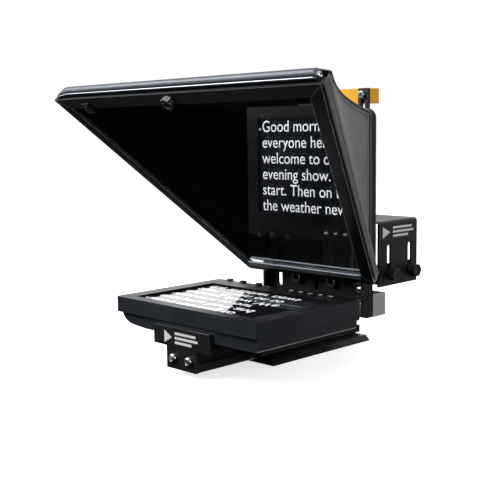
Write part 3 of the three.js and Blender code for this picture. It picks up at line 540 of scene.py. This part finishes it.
def socket_screw(node, body, material, head, domed, rear=False, rim=None):
    """A screw along Y with a turned head and a hexagon socket, in the place of its CAD node; a rim material
    paints a highlight ring on the head's outer face.
    """
    lo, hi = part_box(node)
    middle = (lo + hi) / 2
    radius = (hi.x - lo.x) / 2
    socket = radius * 0.5
    shank = radius * 0.48
    length = hi.y - lo.y
    turn = random.uniform(0, math.tau / 6)
    bottom = head * 0.62
    well = ((0.2, bottom), (0.97, bottom), (1.0, head * 0.57), (1.0, 0.25 * MM), (1.12, 0.0))
    rings = [("hex", socket * share, depth) for share, depth in well]
    if domed:
        for share in (0.66, 0.74, 0.82, 0.89, 0.95, 0.985, 1.0):
            drop = (1 - math.sqrt(max(0.0, 1 - ((share - 0.5) / 0.5) ** 2))) * head * 0.82
            rings.append(("round", radius * share, drop))
    else:
        for share, drop in ((0.8, 0.0), (0.92, 0.02), (0.965, 0.15), (0.99, 0.4), (1.0, 0.75)):
            rings.append(("round", radius * share, drop * MM))
    rings += [("round", radius, head * 0.94), ("round", radius * 0.97, head), ("round", shank, head)]
    rings += [("round", shank, length - 0.4 * MM), ("round", shank * 0.85, length)]
    count = 48
    verts, faces = [], []
    for kind, size, depth in rings:
        for k in range(count):
            angle = math.tau * k / count
            reach = size
            if kind == "hex":
                off_flat = (angle - turn) % (math.pi / 3) - math.pi / 6
                reach = size * math.cos(math.pi / 6) / math.cos(off_flat)
            y = hi.y - depth if rear else lo.y + depth
            verts.append((middle.x + reach * math.cos(angle), y, middle.z + reach * math.sin(angle)))
    for i in range(len(rings) - 1):
        a, b = i * count, (i + 1) * count
        faces += band(b, a, count) if rear else band(a, b, count)
    last = (len(rings) - 1) * count
    first_cap = tuple(range(count))
    last_cap = tuple(last + k for k in range(count))
    faces += [first_cap, last_cap[::-1]] if rear else [first_cap[::-1], last_cap]
    mesh = mesh_of(node + "_turned", verts, faces)
    mesh.set_sharp_from_angle(angle=math.radians(38))
    screw = own_piece(node + "_turned", mesh, [material, rim] if rim else [material], body)
    # rim: a painted highlight ring on the head's outer face
    if rim:
        for polygon in mesh.polygons:
            reach = Vector((polygon.center.x - middle.x, polygon.center.z - middle.z)).length
            depth = hi.y - polygon.center.y if rear else polygon.center.y - lo.y
            polygon.material_index = int(reach > radius * 0.76 and depth < head * 0.4)
    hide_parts(node)


def build_screws():
    for i in (1, 2):
        socket_screw(f"front_bolt_{i}", "stand", STEEL, 3 * MM, True)
        # the steel rim on these black heads is a painted highlight ring
        socket_screw(f"plate_bolt_{i}", "stand", BLACK_STEEL, 6 * MM, False, rim=STEEL)
        socket_screw(f"edge_screw_{i}", "stand", STEEL, 3.4 * MM, True)
    for side in ("left", "right"):
        socket_screw(f"bar_bolt_{side}", "cross_bar", STEEL, 3.4 * MM, False)
        socket_screw(f"bracket_screw_{side}", "stand", BLACK_STEEL, 3 * MM, False, rear=True)


# stations of the rolled edge in mm: distance from its end, up the slope past the head, out, and radius
ROLL_LEFT_END = ((0, 0.4, -2, 1.6), (4, 1.3, -3.1, 2.7), (11, 2.8, -4.9, 4.1), (22, 3.85, -6.15, 5))
ROLL_RIGHT_END = ((0, 3.1, -5.3, 4.2), (2.5, 3.85, -6.15, 5))


def roll_point(x, angle):
    """On the head's rolled edge, which runs out thin at its left end and stops square at its right end."""
    ends = ROLL_LEFT_END if x < 0 else ROLL_RIGHT_END
    reach = (ROLL_HALF - abs(x)) / MM
    v, w, radius = ends[-1][1:]
    for near, far in zip(ends, ends[1:]):
        if reach < far[0]:
            share = max(0.0, (reach - near[0]) / (far[0] - near[0]))
            v, w, radius = (near[k] + (far[k] - near[k]) * share for k in (1, 2, 3))
            break
    centre = on_slope(x, SLOPE_LENGTH + v * MM, w * MM)
    return centre + Vector((0, -math.cos(angle), math.sin(angle))) * (radius * MM)


def build_trim():
    """A bright metal bead along the front of the rolled edge, which paints the highlight line there, and a
    rivet in its square end.
    """
    half = ROLL_HALF - 0.5 * MM
    points = [roll_point(half * (i / 60 - 1), math.radians(-38)) for i in range(121)]
    tube("head_trim_painted_highlight", points, 0.9 * MM, 12, TRIM_PAINTED_HIGHLIGHT)
    v, w = ROLL_RIGHT_END[0][1:3]
    centre = on_slope(ROLL_HALF, SLOPE_LENGTH + v * MM, w * MM)
    rings = ((3.3, 0.0), (3.3, 0.7), (2.9, 1.4), (1.9, 1.9), (1.2, 2.0), (1.0, 1.2), (0.02, 1.1))
    count = 24
    verts, faces = [], []
    for radius, height in rings:
        for k in range(count):
            angle = math.tau * k / count
            verts.append(centre + Vector((height, radius * math.cos(angle), radius * math.sin(angle))) * MM)
    for i in range(len(rings) - 1):
        faces += band(i * count, (i + 1) * count, count)
    own_piece("head_end_rivet", mesh_of("head_end_rivet", verts, faces), [STEEL], "stand")


def build_glass():
    """The beam splitter, its front face half silvered."""
    bm = bmesh.new()
    bm.from_mesh(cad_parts["beam_splitter"].data)
    bmesh.ops.remove_doubles(bm, verts=bm.verts, dist=0.01 * MM)
    bm.normal_update()
    for face in bm.faces:
        face.material_index = 0 if face.normal.dot(SLOPE_OUT) > 0.9 else 1
    mesh = bpy.data.meshes.new("splitter_glass")
    bm.to_mesh(mesh)
    bm.free()
    glass = own_piece("splitter_glass", mesh, [GLASS_COAT, GLASS_BARE], "stand")
    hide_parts("beam_splitter")


# ---- the script on the monitor, mirrored so that the glass shows it the right way round ----
SCRIPT = (
    "Good morning to", "everyone here and", "welcome to our", "evening show. We", "start. Then on to",
    "the weather news",
)
CAP_HEIGHT = 12.4 * MM
LINE_STEP = 18 * MM
FIRST_BASELINE = 15.5 * MM  # from the screen's front edge
SCRIPT_LEFT = -SCREEN_W / 2 + 4.6 * MM
SCRIPT_RIGHT = SCREEN_W / 2 - 1.5 * MM  # the words are cut off here
SCRIPT_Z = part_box("lcd_panel")[1].z + 0.12 * MM


def text_mesh(words):
    """A flat mesh of the words, in the font's own units."""
    curve = bpy.data.curves.new("words", "FONT")
    curve.body = words
    holder = bpy.data.objects.new("words", curve)
    bpy.context.scene.collection.objects.link(holder)
    bpy.context.view_layer.update()
    mesh = bpy.data.meshes.new_from_object(holder.evaluated_get(bpy.context.evaluated_depsgraph_get()))
    bpy.data.objects.remove(holder)
    bpy.data.curves.remove(curve)
    return mesh


def build_script():
    capital = text_mesh("H")
    scale = CAP_HEIGHT / max(v.co.y for v in capital.vertices)
    bpy.data.meshes.remove(capital)
    front = SCREEN_Y - SCREEN_D / 2
    bm = bmesh.new()
    for index, words in enumerate(SCRIPT):
        line = text_mesh(words)
        baseline = front + FIRST_BASELINE + index * LINE_STEP
        line.transform(Matrix.Diagonal((scale, -scale, 1, 1)))
        line.transform(Matrix.Translation((SCRIPT_LEFT, baseline, SCRIPT_Z)))
        part = bmesh.new()
        part.from_mesh(line)
        geometry = part.verts[:] + part.edges[:] + part.faces[:]
        bmesh.ops.bisect_plane(part, geom=geometry, plane_co=(SCRIPT_RIGHT, 0, 0), plane_no=RIGHT,
                               clear_outer=True)
        part.to_mesh(line)
        part.free()
        bm.from_mesh(line)
        bpy.data.meshes.remove(line)
    left = SCRIPT_LEFT - 3.8 * MM
    middle = front + FIRST_BASELINE - CAP_HEIGHT * 0.25
    marker = [(left, middle - 1.7 * MM), (left + 2.6 * MM, middle), (left, middle + 1.7 * MM)]
    bm.faces.new([bm.verts.new((x, y, SCRIPT_Z)) for x, y in marker])
    bmesh.ops.recalc_face_normals(bm, faces=bm.faces)
    for face in bm.faces:
        if face.normal.z < 0:
            face.normal_flip()
    mesh = bpy.data.meshes.new("script_lines")
    bm.to_mesh(mesh)
    bm.free()
    own_piece("script_lines", mesh, [SCRIPT_LIGHT], "monitor")


# ---- printed marks ----
def flat_shapes(name, shapes, origin, right, up, body):
    """Thin printed shapes, each a list of (right, up) points, raised a hair off a face."""
    out = right.cross(up)
    verts, faces = [], []
    for shape in shapes:
        base = len(verts)
        count = len(shape)
        for level in (0.0, 0.08 * MM):
            verts.extend(origin + right * x + up * y + out * level for x, y in shape)
        faces.append(tuple(base + count + k for k in range(count)))
        faces.append(tuple(base + k for k in reversed(range(count))))
        faces += band(base, base + count, count)
    own_piece(name, mesh_of(name, verts, faces, smooth=False), [WHITE_INK], body)


def bar(x0, x1, y0, y1):
    return [(x0, y0), (x1, y0), (x1, y1), (x0, y1)]


def prompter_mark(width, height):
    """A generic mark: a play triangle beside three lines of script."""
    shapes = [[(-0.5, -0.5), (-0.27, 0), (-0.5, 0.5)]]
    for row, length in ((0.36, 0.62), (0.0, 0.68), (-0.36, 0.5)):
        shapes.append(bar(-0.18, -0.18 + length, row - 0.1, row + 0.1))
    return [[(x * width, y * height) for x, y in shape] for shape in shapes]


def build_marks():
    lo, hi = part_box("front_plate")
    mark = prompter_mark(49 * MM, 12.5 * MM)
    flat_shapes("front_plate_mark", mark, Vector((0, lo.y, hi.z - 10 * MM)), RIGHT, UP, "stand")
    lo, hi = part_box("camera_riser")
    mark = prompter_mark((hi.y - lo.y) * 0.8, 13 * MM)
    origin = Vector((hi.x, (lo.y + hi.y) / 2, hi.z - 13 * MM))
    flat_shapes("riser_mark_right", mark, origin, BACK, UP, "riser")
    origin.x = lo.x
    flat_shapes("riser_mark_left", mark, origin, -BACK, UP, "riser")


def build_button_tips():
    shape = bar(-2.2 * MM, 2.2 * MM, -1.0 * MM, 1.0 * MM)
    for i in range(1, 6):
        lo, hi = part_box(f"button_{i}")
        origin = Vector(((lo.x + hi.x) / 2, (lo.y + hi.y) / 2, hi.z))
        flat_shapes(f"button_tip_{i}", [shape], origin, RIGHT, BACK, f"button_{i}")


# ---- fabric hood ----
def on_wall(side, v, w):
    """On the cloth's middle where it lies on the sloping frame's outer wall."""
    half = FOOT_HALF + (HEAD_HALF - FOOT_HALF) * v / SLOPE_LENGTH
    return on_slope(side * (half + CLOTH_OUT), v, w)


def seam_point(side, u):
    """The seam between the side and top panels, from the frame's head back to the hem."""
    front = on_wall(side, SLOPE_LENGTH - 1.5 * MM, WALL_BACK_HEAD)
    rear = Vector((side * CLOTH_REAR_HALF, CLOTH_REAR, HEM_HI.z - 4.5 * MM))
    point = front.lerp(rear, u)
    point.x -= side * SEAM_SAG * math.sin(math.pi * u)
    return point


def pucker(u, v, u0, v0, du, dv, depth):
    """A small bulge or dent round (u0, v0)."""
    return depth * math.exp(-(((u - u0) / du) ** 2) - ((v - v0) / dv) ** 2)


def fold(u, v, u0, v0, angle, width, reach, depth):
    """A soft crease that starts at (u0, v0), runs at an angle and dies out."""
    along = (u - u0) * math.cos(angle) + (v - v0) * math.sin(angle)
    off = -(u - u0) * math.sin(angle) + (v - v0) * math.cos(angle)
    fade = max(0.0, 1 - abs(along) / reach) if along > 0 else 0.0
    return depth * math.exp(-((off / width) ** 2)) * fade * fade * (3 - 2 * fade)


# a side panel's folds: where each starts, its angle, width, reach and depth in mm
SIDE_FOLDS = (
    (0.98, 0.98, 3.75, 0.03, 0.55, 2.2),
    (0.98, 0.9, 3.45, 0.03, 0.4, -1.6),
    (0.02, 0.96, 5.6, 0.035, 0.5, 1.5),
    (0.03, 0.05, 0.6, 0.04, 0.6, 1.8),
    (0.97, 0.06, 2.6, 0.035, 0.5, 1.5),
)
# its puckers: place, half width, half height and depth in mm
SIDE_PUCKERS = ((0.94, 0.9, 0.03, 0.03, 2.0), (0.93, 0.62, 0.04, 0.05, -1.0))
# how far the side and top panels bulge, in mm
SIDE_BULGE = 4.0
TOP_CROWN = 4.0


def slack(u, v):
    """How far the stretched cloth stands off its ruled shape: 0 at its edges, which are held."""
    held = math.sin(math.pi * u) ** 0.5 * math.sin(math.pi * v) ** 0.5 if 0 < u < 1 and 0 < v < 1 else 0.0
    shape = SIDE_BULGE * math.sin(math.pi * u) * math.sin(math.pi * v)
    for crease in SIDE_FOLDS:
        shape += fold(u, v, *crease)
    for dent in SIDE_PUCKERS:
        shape += pucker(u, v, *dent)
    shape += 0.5 * noise.noise(Vector((u * 7, v * 7, 0.4)))
    return shape * held * MM


def side_point(side, u, v):
    """On a side panel: u from the frame back to the hem, v from the foot up to the seam."""
    along = 7 * MM + (SLOPE_LENGTH - 8.5 * MM) * v
    back = WALL_BACK + (WALL_BACK_HEAD - WALL_BACK) * v
    if u < WALL_SHARE:
        return on_wall(side, along, WALL_FRONT + (back - WALL_FRONT) * u / WALL_SHARE)
    t = (u - WALL_SHARE) / (1 - WALL_SHARE)
    bottom_front = on_wall(side, 7 * MM, WALL_BACK)
    bottom_rear = Vector((side * CLOTH_REAR_HALF, CLOTH_REAR, HEM_LO.z + 7 * MM))
    point = bottom_front.lerp(bottom_rear, t).lerp(seam_point(side, t), v)
    point.x -= side * slack(t, v)
    return point


def top_point(u, v):
    """On the top panel: u from the head back to the hem, v from the left seam to the right one."""
    point = seam_point(-1, u).lerp(seam_point(1, u), v)
    crown = TOP_CROWN * math.sin(math.pi * u) * math.sin(math.pi * v)
    ripple = 0.9 * math.sin(math.pi * u) * noise.noise(Vector((u * 4, v * 9, 2.2)))
    ripple += fold(u, v, 0.02, 0.03, 0.9, 0.03, 0.5, 1.2) + fold(u, v, 0.02, 0.97, 5.38, 0.03, 0.5, 1.2)
    inset = 1 - 4 * (v - 0.5) ** 2  # 0 at the two seams, 1 halfway between them
    point.z += 2.1 * MM + (crown + ripple) * MM
    hug = max(0.0, 1 - u / 0.05) ** 2 * min(1.0, inset / 0.1)  # up over the frame's rolled edge
    return point + Vector((0, -3.4, 2.0)) * MM * hug


def right_side_point(u, v):
    return side_point(1, u, v)


def left_side_point(u, v):
    """The left panel, turned over so that its faces also point out."""
    return side_point(-1, u, 1 - v)


def longest(at, count, fixed_first):
    """The longest of a sheet's lines along v (fixed_first) or along u."""
    best = 0.0
    shares = [i / count for i in range(count + 1)]
    for fixed in shares:
        points = [at(fixed, moving) if fixed_first else at(moving, fixed) for moving in shares]
        best = max(best, sum((b - a).length for a, b in zip(points, points[1:])))
    return best


def cloth_panel(name, at, node):
    """One sewn panel of the hood: cloth outside, black lining inside."""
    mesh = grid_mesh(name, at, 44, 36)
    obj = own_piece(name, mesh, [CLOTH, LINING], "stand")
    modify(obj, "SOLIDIFY", thickness=1.3 * MM, offset=0.0, material_offset=1, use_quality_normals=True)
    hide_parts(node)
    longest(at, 20, False)
    longest(at, 20, True)


def build_hood():
    steps = [i / 40 for i in range(41)]
    for side, label, at in ((1, "right", right_side_point), (-1, "left", left_side_point)):
        beside = Vector((side * 0.6 * MM, 0, 1.0 * MM))
        piping_path = [seam_point(side, u) + beside for u in steps]
        trims = [tube(f"hood_seam_piping_{label}", piping_path, 1.3 * MM, 10, WEBBING)]
        rows = {
            "seam": [(u, 0.975) for u in steps],
            "front": [(0.045, v) for v in steps],
            "rear": [(0.955, v) for v in steps],
            "low": [(u, 0.03) for u in steps[2:-2]],
        }
        outside = Vector((side * 0.8 * MM, 0, 0))
        for row, places in rows.items():
            path = [side_point(side, u, v) + outside for u, v in places]
            trims.append(stitched(f"hood_{row}_stitch_{label}", path))
        cloth_panel(f"hood_side_{label}", at, f"hood_{label}")
    rows = {
        "left": [(u, 0.02) for u in steps],
        "right": [(u, 0.98) for u in steps],
        "front": [(0.04, v) for v in steps],
    }
    trims = []
    above = Vector((0, 0, 0.8 * MM))
    for row, places in rows.items():
        path = [top_point(u, v) + above for u, v in places]
        trims.append(stitched(f"hood_top_stitch_{row}", path))
    cloth_panel("hood_top_panel", top_point, "hood_top")


def arch_path(half, bottom, top, radius, y):
    """Up the left side, round two corners and down the right side, in the plane of y."""
    side_steps, corner_steps, top_steps = 14, 7, 12
    inner = half - radius
    shoulder = top - radius
    rises = [(shoulder - bottom) * k / side_steps for k in range(side_steps + 1)]
    turns = [math.pi / 2 * k / corner_steps for k in range(1, corner_steps + 1)]
    points = [Vector((-half, y, bottom + rise)) for rise in rises]
    for turn in turns:
        angle = math.pi - turn
        points.append(Vector((-inner + radius * math.cos(angle), y, shoulder + radius * math.sin(angle))))
    points += [Vector((-inner + 2 * inner * k / top_steps, y, top)) for k in range(1, top_steps + 1)]
    for turn in turns:
        angle = math.pi / 2 - turn
        points.append(Vector((inner + radius * math.cos(angle), y, shoulder + radius * math.sin(angle))))
    return points + [Vector((half, y, shoulder - rise)) for rise in rises[1:]]


# outlines in mm: for the hem, the distance out from the binding's middle, and Y
HEM_OUTLINE = (
    (-1.6, 30.3), (-0.9, 29.9), (0.0, 30.0), (0.75, 30.9), (1.0, 33), (1.1, 36), (0.9, 39), (0.3, 40.9),
    (-0.8, 41.7), (-2.2, 42.1), (-4.6, 42.2),
)
# for the sleeve and its toggle, the radius and the distance behind the sleeve's panel
SLEEVE_OUTLINE = (
    (47.6, 0.4), (47.8, 4), (47.2, 12), (45.6, 22), (44.2, 32), (43.0, 38), (38, 41.5), (26, 43.0),
    (14, 43.4), (6.5, 43.8), (4.2, 45.5), (0.1, 46.2),
)
TOGGLE_OUTLINE = ((4.6, 43.2), (5.2, 45.5), (5.2, 48.5), (4.4, 52.5), (2.6, 54.3), (0.1, 54.6))
PLEATS = 22


def build_hem():
    """The binding that holds the hood's rear edge round the upright plate."""
    bottom = HEM_LO.z + 0.5 * MM
    top = HEM_HI.z - 1.6 * MM
    path = arch_path(HEM_HI.x - 1.6 * MM, bottom, top, 7 * MM, 0)

    def at(u, v):
        place = v * (len(path) - 1)
        i = min(int(place), len(path) - 2)
        point = path[i].lerp(path[i + 1], place - i)
        tangent = (path[i + 1] - path[i]).normalized()
        outward = Vector((-tangent.z, 0, tangent.x))
        out, back = profile_at(HEM_OUTLINE, u)
        wobble = 0.18 * noise.noise(Vector((point.x * 60, point.z * 60, back)))
        return Vector((point.x, back * MM, point.z)) + outward * (out + wobble) * MM

    mesh = grid_mesh("hood_hem_binding", at, 20, 110)
    obj = own_piece("hood_hem_binding", mesh, [WEBBING], "stand")
    modify(obj, "SOLIDIFY", thickness=1.1 * MM, offset=0.0, use_quality_normals=True)
    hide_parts("hood_hem")
    piping_path = arch_path(HEM_HI.x - 0.4 * MM, bottom, HEM_HI.z - 0.4 * MM, 8 * MM, HEM_LO.y + 0.9 * MM)
    piping = tube("hood_hem_piping", piping_path, 1.1 * MM, 8, CLOTH)
    stitch_path = arch_path(HEM_HI.x + 0.1 * MM, bottom, HEM_HI.z + 0.1 * MM, 8 * MM, HEM_LO.y + 8.2 * MM)
    stitches = stitched("hood_hem_stitch", stitch_path, 3.4 * MM, 0.3 * MM)
    width, length = longest(at, 16, False), longest(at, 60, True)


def build_flap():
    """The narrow cloth flap that closes the gap under the glass."""
    lo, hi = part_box("hood_flap")

    def at(u, v):
        x = lo.x + (hi.x - lo.x) * v
        y = lo.y + 0.4 * MM + (hi.y - lo.y - 0.8 * MM) * u
        sag = 0.7 * math.sin(math.pi * u) * (0.7 + 0.5 * noise.noise(Vector((v * 9, 0.3, 5))))
        return Vector((x, y, (lo.z + hi.z) / 2 - sag * MM))

    mesh = grid_mesh("hood_flap_cloth", at, 6, 60)
    obj = own_piece("hood_flap_cloth", mesh, [CLOTH, LINING], "stand")
    modify(obj, "SOLIDIFY", thickness=1.0 * MM, offset=0.0, material_offset=1)
    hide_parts("hood_flap")
    longest(at, 6, False)
    longest(at, 30, True)


def build_sleeve():
    """The lens sleeve: a cloth panel over the plate's window with a gathered tube behind it."""
    rim = 47.5 * MM
    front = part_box("lens_sleeve")[0].y + 1.0 * MM
    droop = 1.5 * MM

    def panel_at(u, v):
        angle = math.tau * u
        direction = Vector((math.cos(angle), 0, math.sin(angle)))
        half_z = SLEEVE_PANEL_HIGH - LENS_Z if direction.z > 0 else LENS_Z - SLEEVE_PANEL_LOW
        reach = min(SLEEVE_PANEL_HALF / max(abs(direction.x), 1e-6), half_z / max(abs(direction.z), 1e-6))
        radius = rim + (reach - rim) * (1 - v)
        ripple = 0.35 * math.sin(math.pi * v) * noise.noise(direction * 4)
        return Vector((direction.x * radius, front + ripple * MM, LENS_Z + direction.z * radius))

    def tube_at(u, v):
        angle = math.tau * u
        cos, sin = math.cos(angle), math.sin(angle)
        radius, depth = profile_at(SLEEVE_OUTLINE, v)
        gather = max(0.0, v - 0.35) / 0.65
        pleat = math.sin(angle * PLEATS + 2 * noise.noise(Vector((cos * 3, sin * 3, 0))))
        radius += (0.5 + 0.8 * gather) * pleat * gather * min(1.0, radius / 20)
        depth += 1.1 * gather * pleat * min(1.0, radius / 12)
        ring = Vector((radius * cos, 0, radius * sin)) * MM
        return ring + Vector((0, front + depth * MM, LENS_Z - droop * gather))

    panel_mesh = grid_mesh("lens_sleeve_panel", panel_at, 96, 10, closed=True)
    panel = own_piece("lens_sleeve_panel", panel_mesh, [LINING], "stand")
    modify(panel, "SOLIDIFY", thickness=1.2 * MM, offset=0.0)
    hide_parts("lens_sleeve")
    tube_mesh = grid_mesh("lens_sleeve_tube", tube_at, 176, 44, closed=True)
    sleeve = own_piece("lens_sleeve_tube", tube_mesh, [LINING], "stand")
    modify(sleeve, "SOLIDIFY", thickness=1.0 * MM, offset=0.0)
    circle = [tube_at(i / 64, 0.5) for i in range(64)]
    hem = tube("lens_sleeve_hem", circle, 1.4 * MM, 8, WEBBING, closed=True)

    def toggle_at(u, v):
        angle = math.tau * u
        radius, depth = profile_at(TOGGLE_OUTLINE, v)
        radius *= (1 - 0.12 * math.cos(4 * angle)) * MM  # four flats
        z = LENS_Z - droop + radius * math.sin(angle)
        return Vector((radius * math.cos(angle), front + depth * MM, z))

    toggle_mesh = grid_mesh("lens_sleeve_toggle", toggle_at, 32, 16, closed=True)
    toggle = own_piece("lens_sleeve_toggle", toggle_mesh, [RUBBER], "stand")
    modify(toggle, "SOLIDIFY", thickness=1.2 * MM, offset=-1.0)


# ---- studio ----
def area_light(name, place, size, power, tint=(1.0, 1.0, 1.0)):
    data = bpy.data.lights.new(name, "AREA")
    data.shape = "RECTANGLE"
    data.size, data.size_y = size
    data.energy = power
    data.color = tint
    lamp = bpy.data.objects.new(name, data)
    bpy.context.scene.collection.objects.link(lamp)
    lamp.location = place
    lamp.rotation_euler = (Vector(STUDIO_MIDDLE) - Vector(place)).to_track_quat("-Z", "Y").to_euler()


CAMERA_AZIMUTH = math.radians(45.26)
CAMERA_ELEVATION = math.radians(7.35)
CAMERA_ROLL = math.radians(-0.84)
CAMERA_DISTANCE = 962.6 * MM
CAMERA_LENS = 66.36
CAMERA_TARGET = Vector((-10.2, -59.1, 112.3)) * MM
STUDIO_MIDDLE = (0, -0.05, 0.15)


def build_camera():
    data = bpy.data.cameras.new("camera")
    data.lens = CAMERA_LENS
    data.sensor_width = 36
    data.clip_start = 0.01
    data.clip_end = 100
    camera = bpy.data.objects.new("camera", data)
    bpy.context.scene.collection.objects.link(camera)
    a, e, r = CAMERA_AZIMUTH, CAMERA_ELEVATION, CAMERA_ROLL
    back = Vector((math.sin(a) * math.cos(e), -math.cos(a) * math.cos(e), math.sin(e)))
    right = UP.cross(back).normalized()
    up = back.cross(right)
    rolled_right = right * math.cos(r) + up * math.sin(r)
    rolled_up = up * math.cos(r) - right * math.sin(r)
    turn = Matrix((rolled_right, rolled_up, back)).transposed()
    camera.matrix_world = Matrix.Translation(CAMERA_TARGET + back * CAMERA_DISTANCE) @ turn.to_4x4()
    bpy.context.scene.camera = camera


def build_floor():
    bm = bmesh.new()
    bmesh.ops.create_grid(bm, x_segments=8, y_segments=8, size=8)
    mesh = bpy.data.meshes.new("floor")
    bm.to_mesh(mesh)
    bm.free()
    n = Nodes("floor_paper")
    tone = n.blend(n.noise(3, 3), rgb(0.84, 0.84, 0.84), rgb(0.88, 0.88, 0.88))
    grain = n.bump(n.noise(300, 3), 0.05, 0.1 * MM)
    mesh.materials.append(n.finish(tone, 0.9, grain, Emission_Color=rgb(1, 1, 1), Emission_Strength=0.7))
    floor = bpy.data.objects.new("floor", mesh)
    floor.location.z = -0.2 * MM
    floor.visible_glossy = False
    floor.visible_diffuse = False
    bpy.context.scene.collection.objects.link(floor)


def build_world():
    """White to the eye; for reflections a dim studio, darker on the left, and a bright wall at the back."""
    world = bpy.data.worlds.new("studio")
    world.use_nodes = True
    g = Graph(world.node_tree)
    g.tree.nodes.clear()
    split = g.add("SeparateXYZ")
    g.link(g.add("TexCoord").outputs["Generated"], split.inputs["Vector"])
    x, y, z = split.outputs
    dome = g.math("MULTIPLY", g.remap(z, -0.05, 0.02, 0.004, 0.26), g.remap(x, -0.6, -0.3, 0.25, 1.0))
    wall = g.remap(g.math("MULTIPLY_ADD", x, -0.55, y), 0.6, 0.82, 0.0, 1.15)
    reflected = g.add("Background")
    g.link(g.math("MAXIMUM", dome, wall), reflected.inputs["Strength"])
    g.link(rgb(0.97, 0.985, 1), reflected.inputs["Color"])
    white = g.add("Background")
    g.link(1.05, white.inputs["Strength"])
    g.link(rgb(1, 1, 1), white.inputs["Color"])
    mix = g.add("MixShader")
    g.link(g.add("LightPath").outputs["Is Camera Ray"], mix.inputs["Fac"])
    g.link(reflected.outputs["Background"], mix.inputs[1])
    g.link(white.outputs["Background"], mix.inputs[2])
    g.link(mix.outputs["Shader"], g.add("OutputWorld").inputs["Surface"])
    bpy.context.scene.world = world


def build_studio():
    bpy.context.scene.view_settings.view_transform = "Standard"
    build_camera()
    build_floor()
    build_world()
    area_light("top_softbox", (-0.1, -0.2, 1.7), (1.4, 1.4), 12)
    area_light("right_softbox", (1.8, -0.1, 0.75), (1.3, 1.0), 14)
    area_light("left_softbox", (-1.35, -1.35, 1.5), (1.8, 1.4), 80, (0.94, 0.97, 1.0))


random.seed(7)
build_studio()
dress_hard_pieces()
build_screws()
build_trim()
build_glass()
build_script()
build_marks()
build_button_tips()
build_hood()
build_hem()
build_flap()
build_sleeve()
